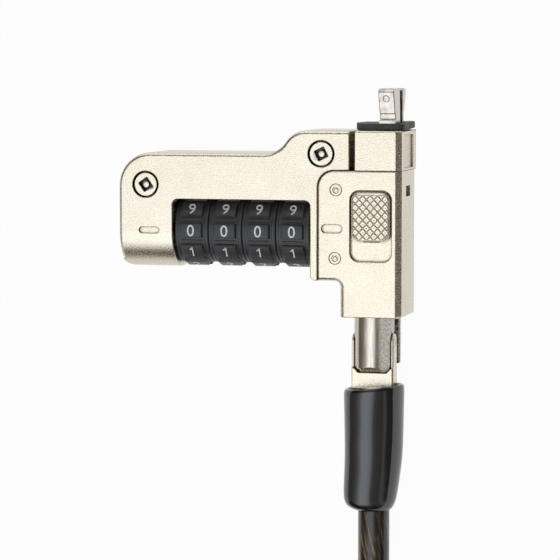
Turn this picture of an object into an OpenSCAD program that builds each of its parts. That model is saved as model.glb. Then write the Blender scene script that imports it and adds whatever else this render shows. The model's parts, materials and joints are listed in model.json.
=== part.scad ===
// Combination cable lock for a laptop's 7 x 3 mm security slot.
// Millimetres. The lock lies on its back face, z = 0, with its dials up.
// x = 0 is the swivel axis of the cable, y = 0 is the dial axis, +y points out along the locking tip.

/* [Body] */
// Thickness from the back face to the front face
body_t = 12.4; // [12.2:0.1:14]
// Distance from the swivel axis to the left end
left_end = 40.8; // [40:0.2:46]
// Height of the low part of the body above the dial axis
low_top = 12.4; // [11.6:0.1:13.4]
// Height of the high part of the body above the dial axis
high_top = 16.1; // [15.8:0.1:18]
// Radius of the two arcs that join the low and the high part
shoulder_r = 4.2; // [3:0.1:5]
// Distance from the swivel axis to the start of the shoulder arcs
shoulder_start = 16.7; // [16:0.1:19]
// Radius of the top left corner
corner_r = 5.3; // [2:0.1:6]
// Depth of the rounded lower part below the dial axis
low_bottom = 6.1; // [6:0.1:7]
// Thickness of the back shell's plate
back_t = 1.2; // [0.8:0.1:1.6]
// Clearance of the seams between the covers
seam = 0.05; // [0.03:0.01:0.1]

/* [Right cover] */
// Distance from the swivel axis to the right side
right_side = 5.5; // [5.2:0.1:7]
// Distance from the swivel axis to the left side of the column
column_left = 4.35; // [4.2:0.05:5]
// Distance from the swivel axis to the cover's left seam
cover_left = 7.85; // [7.8:0.05:8.3]
// Height of the cover above the dial axis
cover_top = 9.8; // [9.5:0.1:10.2]
// Radius of the cover's upper left corner
cover_corner_r = 2.5; // [1:0.1:3]
// Lower edge of the cover's left part, below the dial axis
shelf_bottom = 7.6; // [7.2:0.1:8.4]
// Lower end of the column, below the dial axis
column_bottom = 13.35; // [13.2:0.05:16]
// Chamfer of the front right edge
edge_chamfer = 0.85; // [0.3:0.05:1]
// Radius of the rear right edge
rear_r = 2.4; // [0.5:0.1:2.5]
// Thickness of the cover's front wall
front_wall = 1.4; // [1.2:0.1:1.6]
// Thickness of the cover's right wall
side_wall = 0.9; // [0.6:0.1:1.2]

/* [Dials] */
// Radius of the raised band with the digits
dial_r = 5.95; // [5.6:0.05:6]
// Radius of the dial beside the band
dial_base_r = 5.35; // [5:0.05:5.5]
// Distance from one dial to the next
dial_pitch = 5.55; // [5.3:0.05:5.6]
// Gap between two dials
dial_gap = 0.1; // [0.06:0.02:0.3]
// Width of the band with the digits
band_w = 4.4; // [3.6:0.1:4.8]
// Distance from the swivel axis to the right side of the dial window
window_right = 9.2; // [9.1:0.05:9.6]
// Gap beside the outer dials
window_gap = 0.2; // [0.1:0.05:0.4]
// Height of the dial window above the dial axis
window_top = 5; // [4:0.1:5.4]
// Radius of the dial window's upper corners
window_corner_r = 0.9; // [0.3:0.1:1.5]
// Radius of the code sleeves
sleeve_r = 3.3; // [2.8:0.1:3.8]
// Radius of the spindle
spindle_r = 1; // [0.8:0.05:1.1]
// How far the spindle shifts when the lock opens
spindle_shift = 1.2; // [1:0.05:1.4]

/* [Slider] */
// Width of the button
button_w = 6.1; // [5:0.1:6.4]
// Length of the button
button_l = 7.75; // [6.5:0.05:8]
// How far the button stands above the front face
button_rise = 0.3; // [0:0.05:0.8]
// Travel of the slider
travel = 3.2; // [2.8:0.1:3.4]
// Gap round the button in its pocket
button_gap = 0.3; // [0.15:0.05:0.4]
// Depth of the pocket's floor below the front face
pocket_depth = 0.7; // [0.5:0.1:0.8]
// Wire of the return spring
spring_wire = 0.3; // [0.2:0.02:0.32]
// Mean radius of the return spring
spring_r = 1.2; // [1:0.05:1.25]
// Turns of the return spring
spring_turns = 4; // [3:1:4]

/* [Tip] */
// Thickness of the tip, for a slot 3 mm wide
tip_w = 2.6; // [1.8:0.1:2.8]
// Height of the tip's top above the dial axis
tip_top = 22.7; // [21.5:0.1:24]
// Height of the notch under the hooks above the dial axis
notch_y = 18.75; // [18.4:0.05:19.4]
// How far the moving blade closes up to the fixed one
blade_shift = 1.35; // [1.1:0.05:1.4]
// Thickness of the rubber pad
pad_t = 1.1; // [0.8:0.1:1.6]
// Radius of the pad's corners
pad_corner_r = 1.2; // [0.5:0.1:2]

/* [Swivel] */
// Radius of the swivel barrel
barrel_r = 3.2; // [3.1:0.05:3.6]
// Lower end of the barrel, below the dial axis
barrel_end = 22.6; // [22:0.1:24]
// Chamfer of the barrel's end
barrel_chamfer = 0.9; // [0.3:0.05:1.2]
// Pivot axis of the yoke, below the dial axis
pivot_y = 17.6; // [17.2:0.1:17.9]
// Radius of the pivot pin
pivot_pin_r = 0.75; // [0.5:0.05:0.9]
// Half width of the yoke
yoke_half_w = 3.4; // [3.3:0.05:4]
// Thickness of the yoke's arms
arm_t = 0.45; // [0.4:0.05:0.8]
// Depth of the yoke's web
yoke_depth = 3.3; // [3.1:0.1:4.4]
// Lower end of the yoke's web, below the dial axis
yoke_bottom = 25.2; // [24.9:0.1:26]

/* [Cable] */
// Diameter of the cable
cable_d = 5.1; // [4.5:0.1:5.1]
// Upper rim of the boot, below the dial axis
boot_top = 24.75; // [24.3:0.05:25.1]
// Lower end of the boot, below the dial axis
boot_end = 44.8; // [44.8:0.1:46]
// Radius of the boot at its rim
boot_r = 4.97; // [4.7:0.05:5.4]
// Radius of the boot near its lower end
boot_low_r = 4.35; // [4:0.05:4.6]
// Radius of the crimp sleeve
crimp_r = 3.4; // [3.2:0.05:3.7]
// Thickness of the tie's strap
tie_t = 0.5; // [0.3:0.1:0.5]
// Width of the tie's strap
tie_w = 8; // [5:1:14]

/* [Hidden] */
$fn = 48;

nickel = "#E2DACA";
steel = "#BDBCB8";
rubber = "#2A2B2D";
dial_black = "#35363A";
cable_black = "#33302C";

fit = 0.05;                                  // running clearance of pins and shafts
cut = 0.5;                                   // how far a cutting tool runs past a face
axis_z = 6.5;                                // height of the dial axis and of the swivel axis
dial_count = 4;
digits = 10;

// Body outline
shoulder_h = high_top - low_top;
shoulder_a = acos(1 - shoulder_h / (2 * shoulder_r));
shoulder_w = 2 * shoulder_r * sin(shoulder_a);
end_corner_r = 1.6;
lip_corner_r = 0.8;
inner_corner_r = 1;
nose_gap = 0.82;                             // open gap between the front cover and the nose block
nose_left = 1.94;                            // left side of the nose block from the swivel axis
cover_end = nose_left + nose_gap;            // right end of the front cover from the swivel axis
seam_y = cover_top + seam;

// Dials
window_w = dial_count * dial_pitch + 2 * window_gap;
window_left = window_right + window_w;
dial_w = dial_pitch - dial_gap;
chamber_r = dial_r + 0.25;
function dial_x(i) = -window_left + window_gap + (i - 0.5) * dial_pitch;
bore_r = spindle_r + fit;
fin_r = spindle_r + 0.85;
fin_w = 0.7;
fin_l = 0.4;
fin_inset = 0.3;                             // fin to the right end of its sleeve
sleeve_web = 0.4;                            // thickness of the keyed web in each sleeve
web_play = (spindle_shift - fin_l - sleeve_web) / 2;
spindle_lead = 5.8;                          // spindle beyond the left side of the window
spindle_left = window_left + spindle_lead;
spindle_tip = 5.25;
rear_window = 3.3;
spring_y0 = 4;                               // channel of the detent spring, above the dial axis
spring_y1 = 7.4;
spring_half = 2.4;                           // half depth of that channel
spring_play = 0.2;                           // detent spring to the channel's front and back

// Screws, rivets and marks: centres
screw_at = [[-left_end + 4.5, low_top - 5.08], [-cover_left + 0.48, high_top - 3.64]];
screw_turn = [35, 27];
screw_head_r = 2.03;
screw_bore_r = 2.45;
screw_sink = 1.6;
screw_shank_r = 1;
socket_w = 1.75;
boss_r = 2.2;
boss_top = 5;
rivet_at = [[-cover_left + 2.88, 6.81], [-cover_left + 2.74, -3.98]];
rivet_head_r = 0.9;
rivet_shank_r = 0.5;
rivet_sink = 0.6;
mark_depth = 0.35;
left_mark = [-left_end + 5.08, 0, 3.4, 1.06];
right_mark = [-cover_left + 2.23, 0.68, 3.35, 1.36];

// Slider
slider_x = (right_side - edge_chamfer - column_left) / 2 + 0.5;
pocket_top = 6.75;
pocket_w = button_w + 2 * button_gap;
pocket_l = button_l + travel + button_gap;
pocket_bottom = pocket_top - pocket_l;
pocket_r = 1.5;
button_top = pocket_top - button_gap;
floor_z = body_t - pocket_depth;
inner_z = floor_z - front_wall;              // underside of the cover's front wall
carriage_t = 1.8;
carriage_w = 6.6;
carriage_top_z = inner_z - fit;
carriage_z = carriage_top_z - carriage_t;
carriage_y0 = -4.5;
carriage_y1 = 8.2;
stem_w = 2.4;
stem_l = 3;
stem_y = 3.4;
cavity_left = 3.45;
cavity_bottom = 9;
guide_left = 7;                              // room for the spindle's tip and the ramp
ramp_slope = spindle_shift / travel;
ramp_low = -0.15;
ramp_high = travel + 0.4;

// Cam that turns the slider's travel into the blade's shift
cam_pin_r = 0.6;
cam_y = 6.5;
cam_z = 5.1;
cam_a = atan2(blade_shift, travel);

// Tip
tip_x0 = 1.5;
tip_x1 = tip_x0 + tip_w;
foot_x0 = 0.66;                              // the moving blade's foot, beside the tip's own plane
foot_x1 = 2.96;
pad_left = 2.35;
pad_right = right_side + 0.1;
pad_z0 = 1.2;
pad_z1 = body_t - 1.5;
pad_top = high_top + pad_t;
hook_z0 = 6.05;
hook_z1 = 10.4;
neck_z1 = 9.7;
blade_z0 = 2.1;
blade_neck_z0 = 3.8;
blade_z1 = hook_z0 - blade_shift;
foot_y0 = 2.2;
foot_y1 = 8.9;
foot_z0 = 2.5;
foot_z1 = 6.25;
hook_foot_y = cover_top + 0.8;
hook_pin_r = 0.6;
hook_pin_at = [hook_foot_y + 2, 8.2];

// Swivel
shaft_r = barrel_r - 0.9;
groove_r = shaft_r - 0.5;
bottom_wall = 1.55;
ring_t = 0.6;
ring_r = shaft_r + 0.8;
ring_y = -column_bottom + bottom_wall + fit;
shaft_top = ring_y + ring_t + 1;
chamber_top = shaft_top + 0.2;
dome_r = barrel_end - pivot_y;
flat_x = yoke_half_w - arm_t - fit;
lug_r = yoke_depth / 2 - 0.3;
flat_top = -pivot_y + lug_r + 0.25;
web_gap = 0.12;
tongue_w = 5.8;
tongue_t = 1.6;
tongue_end = 21.6;
tongue_top = column_bottom + 0.2;
stem_r = cable_d / 2 - 0.05;
crimp_gap = 0.4;                             // yoke to the crimp sleeve
crimp_tail = 6.4;                            // crimp sleeve to the boot's end
crimp_top = yoke_bottom + crimp_gap;
crimp_end = boot_end - crimp_tail;
core_lead = 6.2;                             // yoke to the cable's end

// Cable: free stretch from the boot's end to the coil, points chosen by hand
cable_r = cable_d / 2;
run_points = [
    [0, -boot_end, axis_z], [0, -48, 6.5], [0, -51, 6.5], [0, -54, 6.5], [0, -57, 6.5], [0, -60, 6.45],
    [0, -63, 6.3], [0, -66, 6], [0, -69, 5.6], [0, -72, 5.1], [0, -75, 4.6], [0, -78, 4.1],
    [0, -81, 3.7], [0, -84, 3.4], [0, -87, 3.22], [0, -90, 3.15], [0, -92.25, 3.15], [0, -94.4, 3.15]
];
run_end = [0, -94.5, 3.15];

// Coil: four layers, spiralling in and out, each climb in the half turn where the spiral reverses
layers = 4;
layer_turns = 2.5;
coil_pitch = 5.6;
coil_r = 34.5;
coil_z = 3.15;
rings_per_turn = 24;
coil_sides = 6;
coil_turns = layers * layer_turns;
coil_centre = [run_end[0] - coil_r, run_end[1]];
function layer_of(t) = min(layers - 1, floor(t / layer_turns));
function layer_share(t) = t - layer_of(t) * layer_turns;
function turn_r(t) = layer_of(t) % 2 == 0
    ? coil_r - coil_pitch * layer_share(t)
    : coil_r - coil_pitch * (layer_turns - layer_share(t));
function ease(s) = s <= 0 ? 0 : s >= 1 ? 1 : s * s * (3 - 2 * s);
function climb(t, k) = ease((t - k * layer_turns + 0.25) / 0.5);
function turn_z(t) = coil_z + coil_pitch * (climb(t, 1) + climb(t, 2) + climb(t, 3));
function coil_point(t) = [
    coil_centre[0] + turn_r(t) * cos(-360 * t),
    coil_centre[1] + turn_r(t) * sin(-360 * t),
    turn_z(t)
];
coil_points = [for (i = [0 : coil_turns * rings_per_turn]) coil_point(i / rings_per_turn)];
coil_end = coil_points[len(coil_points) - 1];
coil_top = coil_z + (layers - 1) * coil_pitch;

// Cable: last stretch over the top of the coil to the ferrule, points chosen by hand
tail_points = [
    [0, -94.6, 19.95], [-0.5, -99.6, 20.3], [-1.9, -104.6, 21.3], [-4.1, -109.3, 22.8], [-7.1, -113.5, 24.3],
    [-10.8, -117, 25.35], [-15, -119.6, 25.55], [-19.8, -121, 25.55], [-24.8, -121, 25.55],
    [-29.6, -119.6, 25.55], [-33.9, -117.1, 25.55], [-37.4, -113.6, 25.55], [-39.8, -109.4, 25.55],
    [-41.2, -106, 25.55]
];
tail_end = tail_points[len(tail_points) - 1];

// Eye at the far end
eye_dir = [-0.38, 0.925];
ferrule_l = 12;
ferrule_r = 4.6;
eye_l = 38;
eye_w = 27;

function length_of(p) = len(p) < 2 ? 0 : [for (i = 1, s = norm(p[1] - p[0]); i < len(p);
    i = i + 1, s = s + (i < len(p) ? norm(p[i] - p[i - 1]) : 0)) s][len(p) - 2];
// Least distance between the lines of turns that are at least most of a turn apart, less the cable
coil_gap = min([for (i = [0 : len(coil_points) - 1])
    min(concat([1000], [for (j = [i + 18 : 1 : len(coil_points) - 1]) norm(coil_points[i] - coil_points[j])]))
]) - cable_d;
cable_length = length_of(run_points) + length_of(coil_points) + length_of(tail_points);
echo(coil_gap = coil_gap, coil_length = length_of(coil_points), cable_length = cable_length);

// ---------- Shared shapes ----------

function arc(centre, r, from, to, steps = 12) =
    [for (i = [0 : steps]) let (a = from + (to - from) * i / steps) centre + r * [cos(a), sin(a)]];

// A section drawn in y and z, carried along x
module along_x(from, to) {
    translate([from, 0, 0]) rotate([90, 0, 90]) linear_extrude(to - from) children();
}

module rod_x(from, to, r, y, z) {
    translate([from, y, z]) rotate([0, 90, 0]) cylinder(h = to - from, r = r);
}

module rod_y(from, to, r, x, z) {
    translate([x, to, z]) rotate([90, 0, 0]) cylinder(h = to - from, r = r);
}

module block(low, high) {
    translate(low) cube(high - low);
}

// A flat bar with round ends along x
module stadium(at, z) {
    half = (at[2] - at[3]) / 2;
    for (s = [-1, 1]) translate([at[0] + s * half, at[1], z]) cylinder(h = body_t, r = at[3] / 2);
    block([at[0] - half, at[1] - at[3] / 2, z], [at[0] + half, at[1] + at[3] / 2, z + body_t]);
}

module rounded_box(low, high, r) {
    translate([0, 0, low[2]]) linear_extrude(high[2] - low[2]) polygon(concat(
        arc([high[0] - r, high[1] - r], r, 0, 90),
        arc([low[0] + r, high[1] - r], r, 90, 180),
        arc([low[0] + r, low[1] + r], r, 180, 270),
        arc([high[0] - r, low[1] + r], r, 270, 360)
    ));
}

// A tube swept along points
module tube(points, r, sides, way_in = undef, way_out = undef) {
    n = len(points);
    function way(i) = i == 0 && !is_undef(way_in) ? way_in
        : i == n - 1 && !is_undef(way_out) ? way_out
        : let (d = points[min(i + 1, n - 1)] - points[max(i - 1, 0)]) d / norm(d);
    function side(i) = let (s = cross(way(i), [0, 0, 1])) s / norm(s);
    rings = [for (i = [0 : n - 1]) let (s = side(i), u = cross(s, way(i)))
        for (k = [0 : sides - 1]) let (a = 360 * (k + 0.5) / sides) points[i] + r * (cos(a) * s + sin(a) * u)];
    walls = [for (i = [0 : n - 2]) for (k = [0 : sides - 1])
        let (a = i * sides + k, b = i * sides + (k + 1) % sides)
        for (f = [[a, b, b + sides], [a, b + sides, a + sides]]) f];
    first_cap = [for (k = [1 : sides - 2]) [0, k + 1, k]];
    last = (n - 1) * sides;
    last_cap = [for (k = [1 : sides - 2]) [last, last + k, last + k + 1]];
    polyhedron(points = rings, faces = concat(first_cap, walls, last_cap));
}

// Upper outline of the body from the high part's right end to the left end
function upper_outline() = concat(
    arc([-shoulder_start + shoulder_w, high_top - shoulder_r], shoulder_r, 90, 90 + shoulder_a),
    arc([-shoulder_start, low_top + shoulder_r], shoulder_r, 270 + shoulder_a, 270),
    arc([-left_end + corner_r, low_top - corner_r], corner_r, 90, 180),
    arc([-left_end + end_corner_r, -low_bottom + end_corner_r], end_corner_r, 180, 270)
);

// Outline of everything on the back shell
function back_outline() = concat(
    [[right_side, -column_bottom], [right_side, high_top]],
    upper_outline(),
    [[-window_right, -low_bottom]],
    arc([-window_right + lip_corner_r, -shelf_bottom + lip_corner_r], lip_corner_r, 180, 270),
    arc([-column_left - inner_corner_r, -shelf_bottom - inner_corner_r], inner_corner_r, 90, 0),
    [[-column_left, -column_bottom]]
);

function front_outline() = concat(
    [[-cover_end, seam_y], [-cover_end, high_top]],
    upper_outline(),
    [[-window_right, -low_bottom]],
    arc([-window_right + lip_corner_r, -shelf_bottom + lip_corner_r], lip_corner_r, 180, 270),
    [[-cover_left - seam, -shelf_bottom]],
    arc([-cover_left + cover_corner_r, cover_top - cover_corner_r], cover_corner_r + seam, 180, 90)
);

function cover_outline() = concat(
    [[right_side, -column_bottom], [right_side, cover_top]],
    arc([-cover_left + cover_corner_r, cover_top - cover_corner_r], cover_corner_r, 90, 180),
    [[-cover_left, -shelf_bottom]],
    arc([-column_left - inner_corner_r, -shelf_bottom - inner_corner_r], inner_corner_r, 90, 0),
    [[-column_left, -column_bottom]]
);

// The dial part of the body is half round below the dial axis; the rest has its full thickness
module body_section() {
    front_r = body_t - axis_z;
    centre_y = front_r - low_bottom;
    along_x(-left_end - cut, -window_right) polygon(concat(
        [[high_top + cut, body_t]],
        arc([centre_y, body_t - front_r], front_r, 90, 180),
        arc([centre_y, front_r], front_r, 180, 270),
        [[high_top + cut, 0]]
    ));
    block([-window_right, -column_bottom - cut, 0], [right_side + cut, high_top + cut, body_t]);
}

// Cuts the chamfer along the front right edge
module right_edge_cut() {
    translate([right_side, 0, body_t]) rotate([0, 45, 0])
        cube([edge_chamfer * sqrt(2), 4 * high_top, edge_chamfer * sqrt(2)], center = true);
}

// Rounds the rear right edge between two heights
module rear_edge_cut(y0, y1, r) {
    difference() {
        block([right_side - r, y0, -cut], [right_side + cut, y1, r]);
        rod_y(y0 - cut, y1 + cut, r, right_side - r, r);
    }
}

// ---------- Housing ----------

module back_shell() {
    color(nickel) difference() {
        union() {
            intersection() {
                linear_extrude(back_t) polygon(back_outline());
                body_section();
            }
            for (p = screw_at) translate([p[0], p[1], 0.2]) cylinder(h = boss_top - 0.2, r = boss_r);
        }
        for (p = screw_at) translate([p[0], p[1], back_t]) cylinder(h = body_t, r = screw_shank_r + 0.02);
        for (p = rivet_at) translate([p[0], p[1], -cut]) cylinder(h = body_t, r = rivet_shank_r + 0.02);
        block([-window_left, -low_bottom - cut, -cut], [-window_right, rear_window, back_t + cut]);
        rear_edge_cut(-column_bottom - cut, cover_top, rear_r);
        rear_edge_cut(cover_top, high_top + cut, rear_r / 2);
    }
}

module front_cover() {
    color(nickel) difference() {
        intersection() {
            translate([0, 0, back_t]) linear_extrude(body_t - back_t) polygon(front_outline());
            body_section();
        }
        // Dial chamber, its window and its open lower side
        rod_x(-window_left, -window_right, chamber_r, 0, axis_z);
        translate([0, 0, axis_z]) linear_extrude(body_t) polygon(concat(
            [[-window_left, 0], [-window_right, 0]],
            arc([-window_right - window_corner_r, window_top - window_corner_r], window_corner_r, 0, 90),
            arc([-window_left + window_corner_r, window_top - window_corner_r], window_corner_r, 90, 180)
        ));
        block([-window_left, -shelf_bottom - cut, 0], [-window_right, 0, body_t + cut]);
        block([-window_left, 0, 0], [-window_right, rear_window, axis_z]);
        // Channel of the detent spring
        block([-window_left + 0.5, spring_y0, axis_z - spring_half], [-window_right - 0.5, spring_y1, axis_z + spring_half]);
        // Bearings of the spindle
        rod_x(-spindle_left - spindle_shift - 0.5, -window_left + cut, bore_r, 0, axis_z);
        rod_x(-window_right - cut, -cover_left, bore_r, 0, axis_z);
        for (p = screw_at) {
            translate([p[0], p[1], 0]) cylinder(h = body_t, r = screw_shank_r + 0.1);
            translate([p[0], p[1], body_t - screw_sink]) cylinder(h = screw_sink + cut, r = screw_bore_r);
            translate([p[0], p[1], 0]) cylinder(h = boss_top + 0.1, r = boss_r + fit);
        }
        stadium(left_mark, body_t - mark_depth);
    }
}

module slider_cover() {
    stem_slot = stem_w + 0.2;
    color(nickel) difference() {
        translate([0, 0, back_t]) linear_extrude(body_t - back_t) polygon(cover_outline());
        right_edge_cut();
        rear_edge_cut(-column_bottom - cut, cover_top + cut, rear_r);
        // Pocket of the button, with the slot of its stem
        rounded_box(
            [slider_x - pocket_w / 2, pocket_bottom, floor_z],
            [slider_x + pocket_w / 2, pocket_top, body_t + cut], pocket_r
        );
        block(
            [slider_x - stem_slot / 2, stem_y - stem_l / 2 - travel - 0.1, inner_z - cut],
            [slider_x + stem_slot / 2, stem_y + stem_l / 2 + 0.1, body_t]
        );
        // Room of the carriage, and of the ramp with the spindle's tip
        block([-cavity_left, -cavity_bottom, 0], [right_side - side_wall, cover_top + cut, inner_z]);
        block([-guide_left, -4.3, 4.6], [0, 4.3, inner_z]);
        rod_x(-cover_left - cut, -guide_left + cut, bore_r, 0, axis_z);
        // Bore of the swivel shaft, and the room of its ring
        rod_y(-column_bottom - cut, -cavity_bottom - 0.8, shaft_r + fit, 0, axis_z);
        rod_y(ring_y - fit, chamber_top, ring_r + 0.2, 0, axis_z);
        block([-ring_r - 0.2, ring_y - fit, 0], [ring_r + 0.2, chamber_top, axis_z]);
        for (p = rivet_at) {
            translate([p[0], p[1], 0]) cylinder(h = body_t, r = rivet_shank_r + 0.02);
            translate([p[0], p[1], body_t - rivet_sink]) cylinder(h = rivet_sink + cut, r = rivet_head_r + 0.02);
        }
        // Slot for the pin that sets a new code
        block([right_side - 2 * side_wall, 5.7, 5.3], [right_side + cut, 7.35, 8.4]);
        stadium(right_mark, body_t - mark_depth);
    }
}

module nose_block() {
    slot_fit = 0.04;
    color(nickel) difference() {
        block([-nose_left, seam_y, back_t], [right_side, high_top, body_t]);
        right_edge_cut();
        rear_edge_cut(cover_top, high_top + cut, rear_r / 2);
        block(
            [tip_x0 - slot_fit, seam_y - cut, blade_neck_z0 - 0.3],
            [tip_x1 + slot_fit, high_top + cut, hook_z1 + slot_fit]
        );
        rod_x(-nose_left + 0.6, right_side - 0.6, hook_pin_r + 0.02, hook_pin_at[0], hook_pin_at[1]);
        // Shallow panel in the right face
        block([right_side - 0.3, seam_y + 0.35, 3], [right_side + cut, high_top - 0.7, 9.7]);
    }
}

module contact_pad() {
    slot_fit = 0.1;
    color(rubber) difference() {
        translate([0, pad_top, 0]) rotate([90, 0, 0])
            rounded_box([-pad_left, pad_z0, 0], [pad_right, pad_z1, pad_t], pad_corner_r);
        block(
            [tip_x0 - slot_fit, high_top - cut, blade_z0 - slot_fit],
            [tip_x1 + slot_fit, pad_top + cut, hook_z1 + slot_fit]
        );
    }
}

// ---------- Tip ----------

module hook_blade() {
    color(steel) difference() {
        along_x(tip_x0, tip_x1) polygon([
            [hook_foot_y, hook_z0], [hook_foot_y, hook_z1], [pad_top + 0.6, hook_z1], [pad_top + 0.6, neck_z1],
            [notch_y, neck_z1], [notch_y, hook_z1 - 0.35], [tip_top - 0.5, hook_z1],
            [tip_top, hook_z1 - 0.5], [tip_top, hook_z0 + 0.3], [tip_top - 0.3, hook_z0]
        ]);
        rod_x(tip_x0 - cut, tip_x1 + cut, hook_pin_r + 0.02, hook_pin_at[0], hook_pin_at[1]);
    }
}

module hook_pin() {
    color(steel) rod_x(-nose_left + 0.7, right_side - 0.7, hook_pin_r, hook_pin_at[0], hook_pin_at[1]);
}

// The blade closes up to the hook as the cam pin runs down its slanted slot
module lock_blade() {
    r = cam_pin_r + fit;
    color(steel) union() {
        along_x(tip_x0, tip_x1) polygon([
            [foot_y1 - 0.7, blade_z1], [tip_top - 0.2, blade_z1], [tip_top, blade_z1 - 0.4], [tip_top, blade_z0 + 0.4],
            [tip_top - 0.5, blade_z0], [notch_y, blade_neck_z0 - 0.4], [notch_y, blade_neck_z0],
            [foot_y1 - 0.7, blade_neck_z0]
        ]);
        along_x(foot_x0, foot_x1) difference() {
            polygon([[foot_y0, foot_z0], [foot_y0, foot_z1], [foot_y1, foot_z1], [foot_y1, foot_z0]]);
            polygon(concat(
                arc([cam_y, cam_z], r, cam_a - 90, cam_a + 90),
                arc([cam_y - travel, cam_z - blade_shift], r, cam_a + 90, cam_a + 270)
            ));
        }
    }
}

// ---------- Slider ----------

module slider_carriage() {
    cheek_t = 1.05;
    cheek_gap = 0.12;
    left = slider_x - carriage_w / 2;
    face = -spindle_tip + 3 * fit;
    color(steel) difference() {
        union() {
            block([left, carriage_y0, carriage_z], [left + carriage_w, carriage_y1, carriage_top_z]);
            for (x = [foot_x0 - cheek_gap - cheek_t, foot_x1 + cheek_gap])
                block([x, cam_y - 1.2, cam_z - 1.1], [x + cheek_t, cam_y + 1.2, carriage_z + 0.2]);
            // Seat of the return spring
            block([slider_x - 1.5, carriage_y0, carriage_z - 1.2], [slider_x + 1.5, carriage_y0 + 1, carriage_z + 0.2]);
            // Ramp that shifts the spindle
            translate([0, 0, axis_z - 1.2]) linear_extrude(carriage_top_z - axis_z + 1.2) polygon([
                [face - ramp_slope * ramp_low, ramp_low], [left + 0.5, ramp_low],
                [left + 0.5, ramp_high], [face - ramp_slope * ramp_high, ramp_high]
            ]);
        }
        rod_x(-cavity_left, right_side, cam_pin_r + 0.02, cam_y, cam_z);
        block(
            [slider_x - stem_w / 2, stem_y - stem_l / 2, carriage_z - cut],
            [slider_x + stem_w / 2, stem_y + stem_l / 2, body_t]
        );
    }
}

module cam_pin() {
    color(steel) rod_x(foot_x0 - 1.1, foot_x1 + 1.1, cam_pin_r, cam_y, cam_z);
}

module slider_button() {
    r = pocket_r - 0.2;
    z0 = floor_z + fit;
    z1 = body_t + button_rise;
    color(nickel) union() {
        rounded_box(
            [slider_x - button_w / 2, button_top - button_l, z0],
            [slider_x + button_w / 2, button_top, z1], r
        );
        block(
            [slider_x - stem_w / 2, stem_y - stem_l / 2, carriage_z],
            [slider_x + stem_w / 2, stem_y + stem_l / 2, z0 + 0.2]
        );
    }
}

module return_spring() {
    steps = 8 * spring_turns;
    l = carriage_y0 + cavity_bottom - spring_wire - 0.1;
    start = -cavity_bottom + spring_wire / 2 + 0.05;
    z = carriage_top_z - spring_r - spring_wire / 2 - 0.3;
    color(steel) tube(
        [for (i = [0 : steps]) let (a = 45 * i)
            [slider_x + spring_r * cos(a), start + l * i / steps, z + spring_r * sin(a)]],
        spring_wire / 2, 6
    );
}

// ---------- Dials ----------

module dial_wheel(i) {
    valley = 1.1;
    left = dial_x(i) - dial_w / 2;
    color(dial_black) difference() {
        union() {
            rod_x(left, left + dial_w, dial_base_r, 0, axis_z);
            difference() {
                rod_x(dial_x(i) - band_w / 2, dial_x(i) + band_w / 2, dial_r, 0, axis_z);
                // Valleys between the ten digit pads
                for (k = [0 : digits - 1]) translate([dial_x(i), 0, axis_z]) rotate([(k + 0.5) * 360 / digits, 0, 0])
                    translate([0, 0, dial_base_r + 0.05 + dial_r / 2]) cube([band_w + 1, valley, dial_r], center = true);
            }
        }
        rod_x(left - cut, left + dial_w + cut, sleeve_r + 0.03, 0, axis_z);
        block([left - cut, -0.45, axis_z - sleeve_r - 0.65], [left + dial_w + cut, 0.45, axis_z]);
    }
}

// A sleeve runs on the spindle. Its fin passes the keyway of a web from one pocket to the other
module code_sleeve(i) {
    left = dial_x(i) - dial_w / 2;
    web_right = left + dial_w - fin_inset - fin_l - web_play;
    web_left = web_right - sleeve_web;
    color(steel) difference() {
        union() {
            rod_x(left, left + dial_w, sleeve_r, 0, axis_z);
            block([left, -0.4, axis_z - sleeve_r - 0.6], [left + dial_w, 0.4, axis_z - sleeve_r + 0.4]);
        }
        rod_x(left - cut, left + dial_w + cut, bore_r, 0, axis_z);
        rod_x(web_right, left + dial_w + cut, fin_r + 0.15, 0, axis_z);
        rod_x(web_left - fin_l - 2 * web_play, web_left, fin_r + 0.15, 0, axis_z);
        block([web_left - 0.1, -fin_w / 2 - 0.1, axis_z], [web_right + 0.1, fin_w / 2 + 0.1, axis_z + fin_r + 0.1]);
    }
}

module spindle() {
    neck = -spindle_tip - 1;
    color(steel) union() {
        rod_x(-spindle_left, neck, spindle_r, 0, axis_z);
        translate([neck, 0, axis_z]) rotate([0, 90, 0]) cylinder(h = 1, r1 = spindle_r, r2 = 0.2);
        for (i = [1 : dial_count]) {
            end = dial_x(i) + dial_w / 2 - fin_inset;
            block([end - fin_l, -fin_w / 2, axis_z], [end, fin_w / 2, axis_z + fin_r]);
        }
    }
}

// A leaf spring with one nub over each dial's valleys
module detent_spring() {
    strip_t = 0.4;
    strip_y = spring_y1 - fit;
    strip_half = spring_half - spring_play;
    nub_r = 0.5;
    color(steel) union() {
        block([-window_left + 0.6, strip_y - strip_t, axis_z - strip_half], [-window_right - 0.6, strip_y, axis_z + strip_half]);
        for (i = [1 : dial_count]) {
            rod_x(dial_x(i) - 1.2, dial_x(i) + 1.2, nub_r, dial_r + 0.1 + nub_r, axis_z);
            block([dial_x(i) - 1.2, dial_r + 0.1 + nub_r, axis_z - 0.3], [dial_x(i) + 1.2, strip_y - 0.1, axis_z + 0.3]);
        }
    }
}

// ---------- Fasteners ----------

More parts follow.
